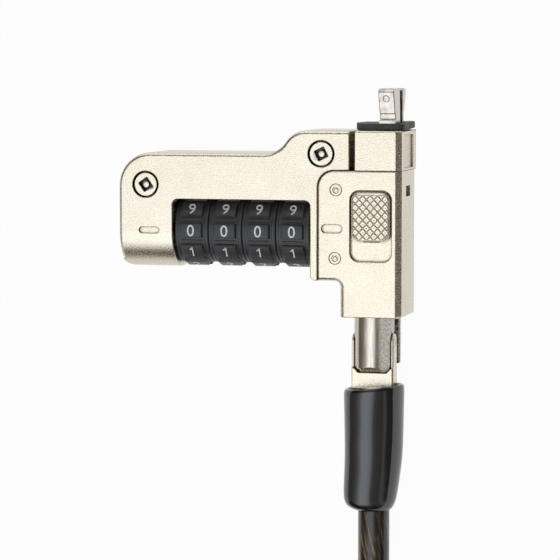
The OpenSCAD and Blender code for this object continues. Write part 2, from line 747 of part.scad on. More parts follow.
module cover_screws() {
    head_h = screw_sink - 0.1;
    color(nickel) for (k = [0, 1]) translate([screw_at[k][0], screw_at[k][1], 0]) difference() {
        union() {
            translate([0, 0, back_t + 0.3]) cylinder(h = body_t - back_t - 0.3 - head_h + 0.1, r = screw_shank_r);
            translate([0, 0, body_t - head_h - 0.1]) cylinder(h = head_h, r = screw_head_r);
        }
        // Square socket with a centre pin
        difference() {
            rotate([0, 0, screw_turn[k]]) translate([-socket_w / 2, -socket_w / 2, body_t - 1]) cube([socket_w, socket_w, 2]);
            translate([0, 0, body_t - 1.2]) cylinder(h = 0.8, r = 0.4);
        }
    }
}

module rivet_pins() {
    color(nickel) for (p = rivet_at) translate([p[0], p[1], 0]) difference() {
        union() {
            translate([0, 0, 0.1]) cylinder(h = body_t - 0.2, r = rivet_shank_r);
            translate([0, 0, body_t - rivet_sink]) cylinder(h = rivet_sink - 0.05, r = rivet_head_r);
        }
        translate([0, 0, body_t - 0.3]) difference() {
            cylinder(h = 1, r = 0.55);
            translate([0, 0, -0.1]) cylinder(h = 0.3, r = 0.3);
        }
    }
}

// ---------- Swivel and yoke ----------

module swivel_barrel() {
    color(steel) union() {
        barrel();
        // Tongue behind the barrel, which stops the yoke at its straight place
        block([-tongue_w / 2, -tongue_end, 0], [tongue_w / 2, -tongue_top, tongue_t]);
        block([-barrel_r * 0.6, -tongue_top - 2, tongue_t - cut], [barrel_r * 0.6, -tongue_top, axis_z - barrel_r + 0.8]);
    }
}

module barrel() {
    top = -column_bottom - fit;
    difference() {
        union() {
            translate([0, -barrel_end, axis_z]) rotate([-90, 0, 0])
                cylinder(h = barrel_chamfer, r1 = barrel_r - barrel_chamfer, r2 = barrel_r);
            rod_y(-barrel_end + barrel_chamfer, top, barrel_r, 0, axis_z);
            rod_y(top - 0.1, shaft_top, shaft_r, 0, axis_z);
        }
        // Groove of the retaining ring
        difference() {
            rod_y(ring_y - 0.02, ring_y + ring_t + 0.02, barrel_r, 0, axis_z);
            rod_y(ring_y - cut, ring_y + ring_t + cut, groove_r, 0, axis_z);
        }
        // Flats for the yoke's arms, and the end rounded about the pivot
        for (s = [-1, 1]) translate([s * (flat_x + 1), (flat_top - barrel_end - cut) / 2, axis_z])
            cube([2, flat_top + barrel_end + cut, 2 * body_t], center = true);
        difference() {
            block([-body_t, -barrel_end - cut, 0], [body_t, -pivot_y - 1, 2 * axis_z]);
            rod_x(-body_t - cut, body_t + cut, dome_r, -pivot_y, axis_z);
        }
        rod_x(-body_t, body_t, pivot_pin_r + fit, -pivot_y, axis_z);
    }
}

module retaining_ring() {
    opening = groove_r * 1.3;
    color(steel) difference() {
        rod_y(ring_y, ring_y + ring_t, ring_r, 0, axis_z);
        rod_y(ring_y - cut, ring_y + ring_t + cut, groove_r + 0.03, 0, axis_z);
        block([-opening / 2, ring_y - cut, 0], [opening / 2, ring_y + ring_t + cut, axis_z]);
    }
}

module pivot_pin() {
    color(steel) rod_x(-yoke_half_w + fit, yoke_half_w - fit, pivot_pin_r, -pivot_y, axis_z);
}

module yoke() {
    inner = yoke_half_w - arm_t;
    r = dome_r + web_gap;
    run = barrel_chamfer - (barrel_r - inner);
    web_top = -barrel_end + barrel_chamfer;
    color(nickel) difference() {
        union() {
            block([-yoke_half_w, -yoke_bottom, axis_z - yoke_depth / 2], [yoke_half_w, web_top, axis_z + yoke_depth / 2]);
            for (s = [-1, 1]) {
                x = s < 0 ? -yoke_half_w : inner;
                rod_x(x, x + arm_t, lug_r, -pivot_y, axis_z);
                block([x, web_top - 0.2, axis_z - lug_r], [x + arm_t, -pivot_y, axis_z + lug_r]);
            }
            rod_y(-yoke_bottom - 6, -yoke_bottom + 0.2, stem_r, 0, axis_z);
        }
        // Room for the barrel's end as the yoke turns about the pivot
        translate([0, -pivot_y, axis_z]) rotate([0, 90, 0]) rotate_extrude() polygon([
            [0, -inner], [r - run, -inner], [r, -inner + run], [r, inner - run], [r - run, inner], [0, inner]
        ]);
        rod_x(-body_t, body_t, pivot_pin_r + 0.02, -pivot_y, axis_z);
    }
}

module crimp_sleeve() {
    color(steel) difference() {
        rod_y(-crimp_end, -crimp_top, crimp_r, 0, axis_z);
        rod_y(-crimp_end - cut, -crimp_top + cut, cable_r + 0.05, 0, axis_z);
    }
}

module boot() {
    wall = 0.9;
    rim = boot_r - wall;
    end_r = 2;
    color(rubber) translate([0, 0, axis_z]) rotate([90, 0, 0]) rotate_extrude() polygon(concat(
        [[cable_r + 0.05, boot_end], [cable_r + 0.05, crimp_end + 0.3], [crimp_r + 0.05, crimp_end + 0.3],
            [crimp_r + 0.05, crimp_top + 1], [rim, crimp_top], [rim, boot_top], [boot_r - 0.3, boot_top],
            [boot_r, boot_top + 0.5], [boot_r, boot_top + 4]],
        arc([boot_low_r - end_r, boot_end - end_r], end_r, 0, 90, 6)
    ));
}

// ---------- Cable ----------

// The cable's end inside the boot and the crimp sleeve
module cable_core() {
    color(cable_black) rod_y(-boot_end, -yoke_bottom - core_lead, cable_r, 0, axis_z);
}

module cable_run() {
    color(cable_black) tube(run_points, cable_r, 12);
}

module cable_coil() {
    color(cable_black) tube(coil_points, cable_r, coil_sides, [0, -1, 0], [0, -1, 0]);
}

module cable_tail() {
    color(cable_black) tube(tail_points, cable_r, 8, [0, -1, 0]);
}

// A strap round all the turns, on the far side of the coil
module coil_tie() {
    inner_r = coil_r - layer_turns * coil_pitch - cable_r - 0.6;
    outer_r = coil_r - coil_pitch / 2 + cable_r + 0.3;
    top = coil_top + cable_r + 0.3;
    color(rubber) translate([coil_centre[0], coil_centre[1], 0]) difference() {
        block([-outer_r - tie_t, -tie_w / 2, 0], [-inner_r + tie_t, tie_w / 2, top + tie_t]);
        block([-outer_r, -tie_w / 2 - cut, tie_t], [-inner_r, tie_w / 2 + cut, top]);
    }
}

module eye_ferrule() {
    color(steel) translate(tail_end) rotate([0, 0, atan2(eye_dir[1], eye_dir[0])]) rotate([0, 90, 0])
        cylinder(h = ferrule_l, r = ferrule_r);
}

// A loop of bare cable that comes out of the ferrule and goes back into it
module eye_loop() {
    steps = 36;
    start = ferrule_l + 0.1;
    lead = 2.4;
    reach = eye_l - eye_w / 2;
    half = eye_w / 2;
    side_a = atan2(half - lead, reach - start);
    legs = [for (s = [0 : 4]) [start + (reach - start) * s / 5, lead + (half - lead) * ease(s / 5)]];
    bend = arc([reach, 0], half, 90, -90, 14);
    flat = concat(legs, bend, [for (s = [4 : -1 : 0]) [legs[s][0], -legs[s][1]]]);
    color(cable_black) translate(tail_end) rotate([0, 0, atan2(eye_dir[1], eye_dir[0])])
        tube([for (p = flat) [p[0], p[1], 0]], 1.9, 8, [1, 0, 0], [-1, 0, 0]);
}

back_shell();
front_cover();
slider_cover();
nose_block();
contact_pad();
hook_blade();
hook_pin();
lock_blade();
slider_carriage();
cam_pin();
slider_button();
return_spring();
dial_wheel(1);  // dial_wheel_1
dial_wheel(2);  // dial_wheel_2
dial_wheel(3);  // dial_wheel_3
dial_wheel(4);  // dial_wheel_4
code_sleeve(1);  // code_sleeve_1
code_sleeve(2);  // code_sleeve_2
code_sleeve(3);  // code_sleeve_3
code_sleeve(4);  // code_sleeve_4
spindle();
detent_spring();
cover_screws();
rivet_pins();
swivel_barrel();
retaining_ring();
pivot_pin();
yoke();
crimp_sleeve();
boot();
cable_core();
cable_run();
cable_coil();
cable_tail();
coil_tie();
eye_ferrule();
eye_loop();
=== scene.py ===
"""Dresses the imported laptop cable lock: housing, code dials, slider, tip, swivel and cable."""

import json
import logging
import math
import sys
from collections.abc import Callable, Iterator
from contextlib import contextmanager
from dataclasses import dataclass
from enum import Enum

import bpy
from mathutils import Matrix, Vector

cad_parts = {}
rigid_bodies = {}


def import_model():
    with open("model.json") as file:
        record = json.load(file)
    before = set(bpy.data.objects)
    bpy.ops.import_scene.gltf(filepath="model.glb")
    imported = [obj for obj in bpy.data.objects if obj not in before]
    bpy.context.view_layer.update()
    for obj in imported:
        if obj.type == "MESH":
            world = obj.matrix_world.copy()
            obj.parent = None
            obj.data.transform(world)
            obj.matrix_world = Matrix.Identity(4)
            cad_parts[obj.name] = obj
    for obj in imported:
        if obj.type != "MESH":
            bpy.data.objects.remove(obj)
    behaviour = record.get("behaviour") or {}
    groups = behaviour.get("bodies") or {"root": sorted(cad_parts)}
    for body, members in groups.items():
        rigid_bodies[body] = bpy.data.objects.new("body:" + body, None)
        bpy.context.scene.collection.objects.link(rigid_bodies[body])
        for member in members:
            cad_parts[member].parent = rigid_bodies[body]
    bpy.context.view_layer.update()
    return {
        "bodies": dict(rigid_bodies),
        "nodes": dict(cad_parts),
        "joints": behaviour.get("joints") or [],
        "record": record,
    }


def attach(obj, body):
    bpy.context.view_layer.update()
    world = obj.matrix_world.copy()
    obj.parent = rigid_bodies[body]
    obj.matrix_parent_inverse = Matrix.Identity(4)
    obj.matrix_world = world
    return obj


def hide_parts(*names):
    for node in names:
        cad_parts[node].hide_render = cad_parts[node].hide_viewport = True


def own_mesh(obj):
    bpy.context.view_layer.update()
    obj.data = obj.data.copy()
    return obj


log = logging.getLogger("cable_lock")

Material = bpy.types.Material
Node = bpy.types.Node
Piece = bpy.types.Object
Socket = bpy.types.NodeSocket
WidthAt = Callable[[Vector, Vector], float]  # an edge's middle and direction give its bevel width

MM = 0.001
AXIS_Z = 6.5  # height of the dials' axis and of the swivel's axis over the back
BODY_T = 12.4  # thickness of the housing
FRONT_Z = BODY_T - 0.05  # an edge above this is in the front face
SHELL_Z = 1.25  # an edge below this is at the back shell
SCREWS = ((-36.3, 7.32), (-7.37, 12.46))  # the two screws' axes
DIAL_PITCH = 5.55
DIAL_X = [-31.6 + (i + 0.5) * DIAL_PITCH for i in range(4)]
DIGITS = 10
SHARP = math.radians(24)  # the angle from which an edge is rounded
THIN_SHARE = 0.35  # how much of a narrow face the rounding of one edge may take
BREAK = 0.06  # bevel of edges that are only deburred
FAR = 9.0  # more than any distance on the slider's button

# The studio's brightness over the angle to the side, where the right is positive, and upwards
SIDEWAYS = [
    (-90, 0.11), (-63, 0.12), (-50, 0.2), (-38, 0.4), (-24, 0.95), (-16, 1.0), (-4, 1.0), (8, 0.75),
    (17, 0.25), (26, 0.16), (44, 0.13), (54, 0.3), (64, 0.06), (90, 0.04),
]  # fmt: skip
UPWARDS = [
    (-90, 0.05), (-59, 0.08), (-48, 0.75), (-40, 1.0), (6, 1.0), (12, 0.3), (19, 0.1), (42, 0.1),
    (52, 0.8), (60, 1.0), (90, 0.9),
]  # fmt: skip
STUDIO_LEVEL = 2.06


class Where(Enum):
    """Which way a round piece's axis runs."""

    X = (0, math.pi / 2, 0)
    Z = (0, 0, 0)


def share_of(value: float, start: float, end: float) -> float:
    """How far a value has come from a start to an end, from 0 to 1."""
    return min(max((value - start) / (end - start), 0.0), 1.0)


def ease(share: float) -> float:
    """A smooth step from 0 to 1."""
    share = min(max(share, 0.0), 1.0)
    return share * share * (3 - 2 * share)


def turned(degrees: float, axis: str = "X") -> Matrix:
    """A turn about one of the axes."""
    return Matrix.Rotation(math.radians(degrees), 4, axis)


def moved(*place: float) -> Matrix:
    """A move in millimetres."""
    return Matrix.Translation(Vector(place) * MM)


# ---------------------------------------------------------------- colours and nodes


def linear(colour: str) -> tuple[float, float, float, float]:
    """Turns an sRGB hex colour into linear values.

    Args:
        colour: the colour as "#rrggbb".

    Returns:
        Red, green, blue and alpha for a node socket.
    """
    parts = [int(colour[i : i + 2], 16) / 255 for i in (1, 3, 5)]
    r, g, b = (c / 12.92 if c <= 0.04045 else ((c + 0.055) / 1.055) ** 2.4 for c in parts)
    return (r, g, b, 1.0)


class Nodes:
    """Adds nodes to a shader's tree. All methods but feed and add return the new node's output."""

    def __init__(self, tree: bpy.types.NodeTree) -> None:
        """Takes the tree."""
        self.tree = tree

    def feed(self, node: Node, **inputs) -> Node:
        """Sets or links a node's inputs.

        Args:
            node: the node.
            **inputs: values or outputs by input name, with _ for a space, or i and a number.

        Returns:
            The node.
        """
        for name, value in inputs.items():
            numbered = name[0] == "i" and name[1:].isdigit()
            socket = node.inputs[int(name[1:]) if numbered else name.replace("_", " ")]
            if isinstance(value, Socket):
                self.tree.links.new(value, socket)
            else:
                socket.default_value = value
        return node

    def add(self, kind: str, settings: dict | None = None, **inputs) -> Node:
        """Adds one node with its own settings and its inputs, and returns it."""
        node = self.tree.nodes.new(f"ShaderNode{kind}")
        for name, value in (settings or {}).items():
            setattr(node, name, value)
        return self.feed(node, **inputs)

    def maths(self, operation: str, *values: float | Socket, clamp: bool = False) -> Socket:
        """Computes with one to three numbers."""
        settings = {"operation": operation, "use_clamp": clamp}
        return self.add("Math", settings, **{f"i{i}": v for i, v in enumerate(values)}).outputs[0]

    def noise(self, at: Socket, size: float, detail: float = 3.0) -> Socket:
        """Adds noise of a size in millimetres."""
        return self.add("TexNoise", Vector=at, Scale=1000 / size, Detail=detail).outputs["Fac"]

    def spread(
        self, value: Socket, source: tuple, target: tuple = (0, 1), smooth: bool = False
    ) -> Socket:
        """Maps a value from one range to another, evenly or as a smooth step."""
        settings = {"interpolation_type": "SMOOTHSTEP" if smooth else "LINEAR"}
        ends = dict(zip(("From_Min", "From_Max", "To_Min", "To_Max"), (*source, *target)))
        return self.add("MapRange", settings, Value=value, **ends).outputs[0]

    def ramp(self, value: Socket, *stops: tuple[float, str | float]) -> Socket:
        """Reads a colour ramp, whose stops are places with a hex colour or a grey value."""
        node = self.add("ValToRGB", Fac=value)
        ramp = node.color_ramp
        while len(ramp.elements) < len(stops):
            ramp.elements.new(0.5)
        for element, (place, shade) in zip(ramp.elements, stops):
            element.position = place
            element.color = linear(shade) if isinstance(shade, str) else (shade, shade, shade, 1)
        return node.outputs[0]

    def mix(self, share: Socket, first: Socket | tuple, second: Socket) -> Socket:
        """Mixes two colours."""
        return self.add("Mix", {"data_type": "RGBA"}, i0=share, i6=first, i7=second).outputs[2]

    def bump(self, height: Socket, depth: float, strength: float = 1.0) -> Socket:
        """Adds relief of a depth in millimetres."""
        return self.add("Bump", Height=height, Strength=strength, Distance=depth * MM).outputs[0]

    def darker_in_gaps(self, colour: Socket, dirt: str, reach: float) -> Socket:
        """Paints shade into a colour down in seams, wells and gaps, where ambient occlusion finds
        other surfaces near.

        Args:
            colour: the colour without the painted shade.
            dirt: the colour of the painted shade down in a gap.
            reach: how far from a step the painted shade reaches, in millimetres.

        Returns:
            The mixed colour.
        """
        # Ambient occlusion mixes the painted shade into the colour
        hollow = self.add("AmbientOcclusion", {"samples": 6}, Distance=reach * MM).outputs["AO"]
        return self.mix(self.spread(hollow, (0.3, 0.92), smooth=True), linear(dirt), colour)


# ---------------------------------------------------------------- finishes


@dataclass(frozen=True)
class Finish:
    """What all finishes share: a principled shader, fed from Object coordinates, in mm."""

    name: str

    def build(self) -> Material:
        """Makes the material."""
        material = bpy.data.materials.new(self.name)
        material.use_nodes = True
        nodes = Nodes(material.node_tree)
        at = nodes.add("TexCoord").outputs["Object"]
        self.fill(nodes, material.node_tree.nodes["Principled BSDF"], at)
        return material

    def fill(self, nodes: Nodes, shader: Node, at: Socket) -> None:
        """Feeds the shader.

        Args:
            nodes: the material's nodes.
            shader: its principled shader.
            at: the Object coordinates.
        """
        raise NotImplementedError

    def around(self, roughness: float, less: float, more: float) -> tuple[float, float]:
        """The range of a roughness that varies a little."""
        return (roughness - less, roughness + more)


@dataclass(frozen=True)
class SatinNickel(Finish):
    """Zinc die casting with satin nickel plate: warm silver, finely grained, with shade painted
    into its seams.
    """

    colour: str = "#D9D0BF"
    shade: str = "#C7BDA8"
    # colour of the shade painted down in seams and gaps
    dirt: str = "#2A2119"
    roughness: float = 0.29
    grain: float = 0.2  # drawn coarser than the plate's real 0.05 mm, so that it shows
    depth: float = 0.036
    cloud: float = 6.0  # size of the faint clouds in the plate
    reach: float = 0.55  # how far from a seam or step the painted shade reaches

    def fill(self, nodes: Nodes, shader: Node, at: Socket) -> None:
        """Feeds the shader."""
        grain = nodes.noise(at, self.grain, 2.0)
        clouded = nodes.maths("MULTIPLY_ADD", nodes.noise(at, self.cloud), 0.25, grain)
        tint = nodes.ramp(clouded, (0.45, self.shade), (0.72, self.colour))
        # The colour gets painted shade down in seams and gaps
        nodes.feed(
            shader,
            Base_Color=nodes.darker_in_gaps(tint, self.dirt, self.reach),
            Roughness=nodes.spread(grain, (0.3, 0.7), self.around(self.roughness, 0.07, 0.05)),
            Normal=nodes.bump(grain, self.depth),
            Metallic=1.0,
        )


@dataclass(frozen=True)
class TurnedSteel(Finish):
    """Turned and polished steel: bright, with faint scratches along or round the piece."""

    colour: str = "#C8C1B5"
    scratched: str = "#A9A196"
    # colour of the shade painted down in gaps and wells
    dirt: str = "#241D17"
    reach: float = 0.5  # how far from a gap or step the painted shade reaches
    roughness: float = 0.12
    stretch: tuple[float, float, float] = (1.0, 0.12, 1.0)
    scratch: float = 0.5
    depth: float = 0.006
    scuffed: tuple[float, float] | None = None  # from where along X the steel is rougher from handling and paler as a painted reflection, and to where
    scuff: float = 0.22  # size of the marks there
    # paler colours on that side, which paint a mottled reflection there
    scuff_colours: tuple[str, str] = ("#CFC8BD", "#FFFDF8")
    scuff_roughness: float = 0.68  # how much rougher the steel is there

    def fill(self, nodes: Nodes, shader: Node, at: Socket) -> None:
        """Feeds the shader."""
        stretched = nodes.add("Mapping", Vector=at, Scale=self.stretch).outputs[0]
        lines = nodes.noise(stretched, self.scratch, 4.0)
        rough = nodes.spread(lines, (0.35, 0.7), self.around(self.roughness, 0.04, 0.1))
        tint = nodes.ramp(lines, (0.3, self.scratched), (0.62, self.colour))
        if self.scuffed:
            start, end = self.scuffed
            x = nodes.add("SeparateXYZ", Vector=at).outputs[0]
            side = nodes.spread(x, (start * MM, end * MM), smooth=True)
            rough = nodes.maths("MULTIPLY_ADD", side, self.scuff_roughness, rough)
            # On that side the steel is rougher from handling, and its paler colour paints a mottled
            # reflection
            dark, pale = self.scuff_colours
            scuff_sheen = nodes.ramp(nodes.noise(at, self.scuff), (0.3, dark), (0.55, pale))
            tint = nodes.mix(side, tint, scuff_sheen)
        # The colour gets painted shade down in gaps and wells
        nodes.feed(
            shader,
            Base_Color=nodes.darker_in_gaps(tint, self.dirt, self.reach),
            Roughness=rough,
            Normal=nodes.bump(lines, self.depth),
            Metallic=1.0,
        )


@dataclass(frozen=True)
class MouldedPlastic(Finish):
    """Moulded acetal, as on dials: black with a fine spark-eroded texture from the mould."""

    colour: str = "#333436"
    dusty: str = "#3F3F40"  # where dust clings
    roughness: float = 0.42
    grain: float = 0.12
    depth: float = 0.01
    wear: float = 1.5

    def fill(self, nodes: Nodes, shader: Node, at: Socket) -> None:
        """Feeds the shader."""
        wear = nodes.noise(at, self.wear)
        nodes.feed(
            shader,
            Base_Color=nodes.ramp(wear, (0.35, self.colour), (0.7, self.dusty)),
            Roughness=nodes.spread(wear, (0.3, 0.7), self.around(self.roughness, 0.07, 0.07)),
            Normal=nodes.bump(nodes.noise(at, self.grain, 2.0), self.depth),
        )


@dataclass(frozen=True)
class DippedVinyl(Finish):
    """Dip-moulded soft vinyl, as on a cable boot: black, smooth and a little glossy, with waves."""

    colour: str = "#141518"
    roughness: float = 0.5
    wave: float = 8.0
    depth: float = 0.3
    skin: float = 0.25
    skin_share: float = 0.008  # depth of the skin's fine grain, as a share of the waves'

    def fill(self, nodes: Nodes, shader: Node, at: Socket) -> None:
        """Feeds the shader."""
        wave = nodes.noise(at, self.wave, 1.0)
        skin = nodes.noise(at, self.skin)
        bump = nodes.bump(nodes.maths("MULTIPLY_ADD", skin, self.skin_share, wave), self.depth)
        nodes.feed(
            shader,
            Base_Color=linear(self.colour),
            Roughness=nodes.spread(skin, (0.3, 0.7), self.around(self.roughness, 0.05, 0.08)),
            Specular_IOR_Level=0.1,
            Normal=bump,
            Coat_Normal=bump,
            Coat_Weight=1.0,
            Coat_IOR=1.7,
            Coat_Roughness=0.05,
        )


@dataclass(frozen=True)
class DigitPaint(Finish):
    """Filling paint in the digits: matt pale grey."""

    colour: str = "#F2F2EE"
    thin: str = "#E2E2DE"  # where the paint is thin
    grain: float = 0.3
    roughness: float = 0.55

    def fill(self, nodes: Nodes, shader: Node, at: Socket) -> None:
        """Feeds the shader."""
        tint = nodes.ramp(nodes.noise(at, self.grain, 2.0), (0.3, self.thin), (0.7, self.colour))
        nodes.feed(shader, Base_Color=tint, Roughness=self.roughness)


@dataclass(frozen=True)
class SheathedCable(Finish):
    """Smoky clear vinyl over laid steel strands: fine brown glints along the lay under a gloss."""

    strands: float = 14.0
    lay: float = 75.0
    glint_length: float = 5.5
    dark: str = "#15110D"
    mid: str = "#2C221A"
    glint: str = "#8E6B43"

    def fill(self, nodes: Nodes, shader: Node, at: Socket) -> None:
        """Feeds the shader from the piece's map: across is round the cable, along is in metres."""
        uv = nodes.add("UVMap", {"uv_map": "along"}).outputs[0]
        across, along = nodes.add("SeparateXYZ", Vector=uv).outputs[:2]
        turn = nodes.maths("MULTIPLY_ADD", along, -1000 / self.lay, across)
        # A point that runs round a circle, so that the pattern meets itself behind the cable
        angle = nodes.maths("MULTIPLY", turn, 2 * math.pi)
        x, y = nodes.maths("COSINE", angle), nodes.maths("SINE", angle)
        spot = nodes.add("CombineXYZ", X=x, Y=y, Z=along).outputs[0]
        round_scale = self.strands / math.pi
        scale = (round_scale, round_scale, 1000 / self.glint_length)
        stretched = nodes.add("Mapping", Vector=spot, Scale=scale).outputs[0]
        strands = nodes.noise(stretched, 1000, 4.0)
        stops = (0.36, self.dark), (0.5, self.mid), (0.55, self.mid), (0.63, self.glint)
        nodes.feed(
            shader,
            Base_Color=nodes.ramp(strands, *stops),
            Roughness=0.4,
            Specular_IOR_Level=0.1,
            Coat_Weight=1.0,
            Coat_Roughness=0.06,
        )


@dataclass(frozen=True)
class WovenStrap(Finish):
    """Woven nylon hook and loop strap: matt black with a fuzzy weave."""

    colour: str = "#27272A"
    pale: str = "#3A3A3E"
    thread: float = 0.5
    depth: float = 0.15

    def fill(self, nodes: Nodes, shader: Node, at: Socket) -> None:
        """Feeds the shader."""
        weave = nodes.add("TexVoronoi", Vector=at, Scale=1000 / self.thread).outputs["Distance"]
        nodes.feed(
            shader,
            Base_Color=nodes.ramp(weave, (0.1, self.pale), (0.7, self.colour)),
            Roughness=0.85,
            Sheen_Weight=0.4,
            Normal=nodes.bump(weave, self.depth, 0.8),
        )


# ---------------------------------------------------------------- modelling helpers


def deselect() -> None:
    """Leaves edit mode and deselects everything."""
    if bpy.context.object and bpy.context.object.mode != "OBJECT":
        bpy.ops.object.mode_set(mode="OBJECT")
    bpy.ops.object.select_all(action="DESELECT")


def activate(piece: Piece) -> None:
    """Makes a piece the only selected and active one."""
    deselect()
    piece.select_set(True)
    bpy.context.view_layer.objects.active = piece


@contextmanager
def edit_mode(piece: Piece, select: str | None = "SELECT") -> Iterator[None]:
    """Opens a piece in edit mode for a while.

    Args:
        piece: the piece.
        select: SELECT or DESELECT for all of its mesh, or None to keep what is selected.

    Yields:
        Nothing.
    """
    activate(piece)
    bpy.ops.object.mode_set(mode="EDIT")
    if select:
        bpy.ops.mesh.select_all(action=select)
    yield
    bpy.ops.object.mode_set(mode="OBJECT")


def settled(name: str) -> Piece:
    """Names the piece just added, and applies its place, turn and scale to its mesh."""
    piece = bpy.context.object
    piece.name = name
    activate(piece)
    bpy.ops.object.transform_apply(location=True, rotation=True, scale=True)
    return piece


def finish_modifiers(piece: Piece) -> Piece:
    """Applies all modifiers of a piece, in their order."""
    activate(piece)
    for modifier in list(piece.modifiers):
        bpy.ops.object.modifier_apply(modifier=modifier.name)
    return piece


def smooth(piece: Piece, angle: float = 35.0) -> Piece:
    """Shades a piece smooth up to an edge angle in degrees."""
    activate(piece)
    bpy.ops.object.shade_smooth_by_angle(angle=math.radians(angle))
    return piece


def dress(piece: Piece, material: Material) -> Piece:
    """Gives a piece one material."""
    piece.data.materials.clear()
    piece.data.materials.append(material)
    return piece


def plated(piece: Piece, material: Material) -> Piece:
    """Dresses a piece with rounded edges, and keeps the large faces beside them flat."""
    smooth(dress(piece, material))
    modifier = piece.modifiers.new("even", "WEIGHTED_NORMAL")
    modifier.keep_sharp = True
    modifier.weight = 60
    return finish_modifiers(piece)


def keep(piece: Piece, body: str, slot: str, *nodes: str) -> Piece:
    """Keeps a finished piece.

    Args:
        piece: the piece.
        body: the body that it rides on.
        slot: its material slot; not used.
        *nodes: the CAD nodes that it replaces.

    Returns:
        The piece.
    """
    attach(piece, body)
    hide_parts(*nodes)
    log.info("%s: %d faces", piece.name, len(piece.data.polygons))
    return piece


def block(name: str, low: tuple, high: tuple) -> Piece:
    """Adds a box between two corners in millimetres, with its place in its mesh."""
    deselect()
    centre = [(a + b) / 2 * MM for a, b in zip(low, high)]
    scale = [(b - a) * MM for a, b in zip(low, high)]
    bpy.ops.mesh.primitive_cube_add(size=1, location=centre, scale=scale)
    return settled(name)


def drum(
    name: str, where: Where, centre: tuple, radius: float, depth: float, sides: int
) -> Piece:
    """Adds a cylinder in millimetres, with its place in its mesh.

    Args:
        name: the object's name.
        where: the direction of its axis.
        centre: its middle.
        radius: its radius.
        depth: its length.
        sides: its number of sides.

    Returns:
        The cylinder.
    """
    deselect()
    bpy.ops.mesh.primitive_cylinder_add(
        vertices=sides,
        radius=radius * MM,
        depth=depth * MM,
        location=[c * MM for c in centre],
        rotation=where.value,
    )
    return settled(name)


def join(name: str, parts: list[Piece]) -> Piece:
    """Joins parts into the first one and names it."""
    deselect()
    for part in parts:
        part.select_set(True)
    bpy.context.view_layer.objects.active = parts[0]
    bpy.ops.object.join()
    parts[0].name = name
    return parts[0]


def linked(piece: Piece) -> Piece:
    """Puts a new object in the scene."""
    bpy.context.scene.collection.objects.link(piece)
    return piece


def copied(piece: Piece, name: str, move: Matrix) -> Piece:
    """Copies a piece with its own mesh and moves that mesh."""
    other = piece.copy()
    other.data = piece.data.copy()
    other.data.transform(move)
    other.name = name
    return linked(other)


def cut_away(piece: Piece, tool: Piece) -> Piece:
    """Cuts a tool out of a piece, and removes the tool."""
    modifier = piece.modifiers.new("cut", "BOOLEAN")
    modifier.operation = "DIFFERENCE"
    modifier.solver = "EXACT"
    modifier.object = tool
    finish_modifiers(piece)
    bpy.data.objects.remove(tool)
    return piece


def cut_ring(
    piece: Piece, where: Where, centre: tuple, radii: tuple[float, float], width: float, sides: int
) -> None:
    """Cuts a ring out of a piece.

    Args:
        piece: the piece.
        where: the direction of the ring's axis.
        centre: its middle in millimetres.
        radii: its outer and inner radius.
        width: its length along the axis.
        sides: its number of sides.
    """
    ring = drum("ring", where, centre, radii[0], width, sides)
    cut_away(piece, cut_away(ring, drum("core", where, centre, radii[1], width + 1, sides)))


def cad_copy(frame: dict, node: str, name: str) -> Piece:
    """Copies a CAD node as a merged mesh with whole flat faces.

    Args:
        node: the CAD node's name.
        name: the new piece's name.

    Returns:
        The new piece.
    """
    piece = linked(bpy.data.objects.new(name, frame["nodes"][node].data.copy()))
    piece.data.materials.clear()
    with edit_mode(piece):
        bpy.ops.mesh.customdata_custom_splitnormals_clear()
        bpy.ops.mesh.remove_doubles(threshold=2e-6)
        bpy.ops.mesh.dissolve_limited(angle_limit=math.radians(0.6))
        bpy.ops.mesh.faces_shade_smooth()
    return piece


def face_reach(mesh: bpy.types.Mesh, face: int, start: Vector, way: Vector) -> float:
    """How far a face reaches from one of its edges.

    Args:
        mesh: the mesh.
        face: the face's number.
        start: a point of the edge.
        way: the edge's direction.

    Returns:
        The distance of the face's farthest corner from the edge's line, in millimetres.
    """
    reach = 0.0
    for i in mesh.polygons[face].vertices:
        off = mesh.vertices[i].co - start
        reach = max(reach, (off - way * off.dot(way)).length)
    return reach / MM


def bevel_edges(piece: Piece, width_at: WidthAt, segments: int = 3) -> Piece:
    """Rounds the sharp edges of a piece, each by its own width.

    Args:
        piece: the piece.
        width_at: called with an edge's middle and direction; returns its bevel width. All in mm.
        segments: steps of the rounding.

    Returns:
        The piece.
    """
    mesh = piece.data
    faces_of: dict[int, list[int]] = {}
    for polygon in mesh.polygons:
        for key in polygon.edge_keys:
            faces_of.setdefault(key, []).append(polygon.index)
    widths = []
    for edge in mesh.edges:
        faces = faces_of.get(edge.key, [])
        width = 0.0
        if len(faces) == 2:
            bend = mesh.polygons[faces[0]].normal.angle(mesh.polygons[faces[1]].normal, 0)
            if bend > SHARP:
                a, b = (mesh.vertices[i].co for i in edge.vertices)
                way = (b - a).normalized()
                room = min(face_reach(mesh, face, a, way) for face in faces)
                width = min(width_at((a + b) / 2 / MM, way), THIN_SHARE * room)
        widths.append(width)
    widest = max(widths)
    layer = mesh.attributes.new("bevel_weight_edge", "FLOAT", "EDGE")
    for i, width in enumerate(widths):
        layer.data[i].value = width / widest
    modifier = piece.modifiers.new("round", "BEVEL")
    modifier.limit_method = "WEIGHT"
    modifier.width = widest * MM
    modifier.segments = segments
    # The clamp would shrink every width to suit the shortest edge of an arc
    modifier.use_clamp_overlap = False
    modifier.miter_outer = "MITER_ARC"
    return finish_modifiers(piece)


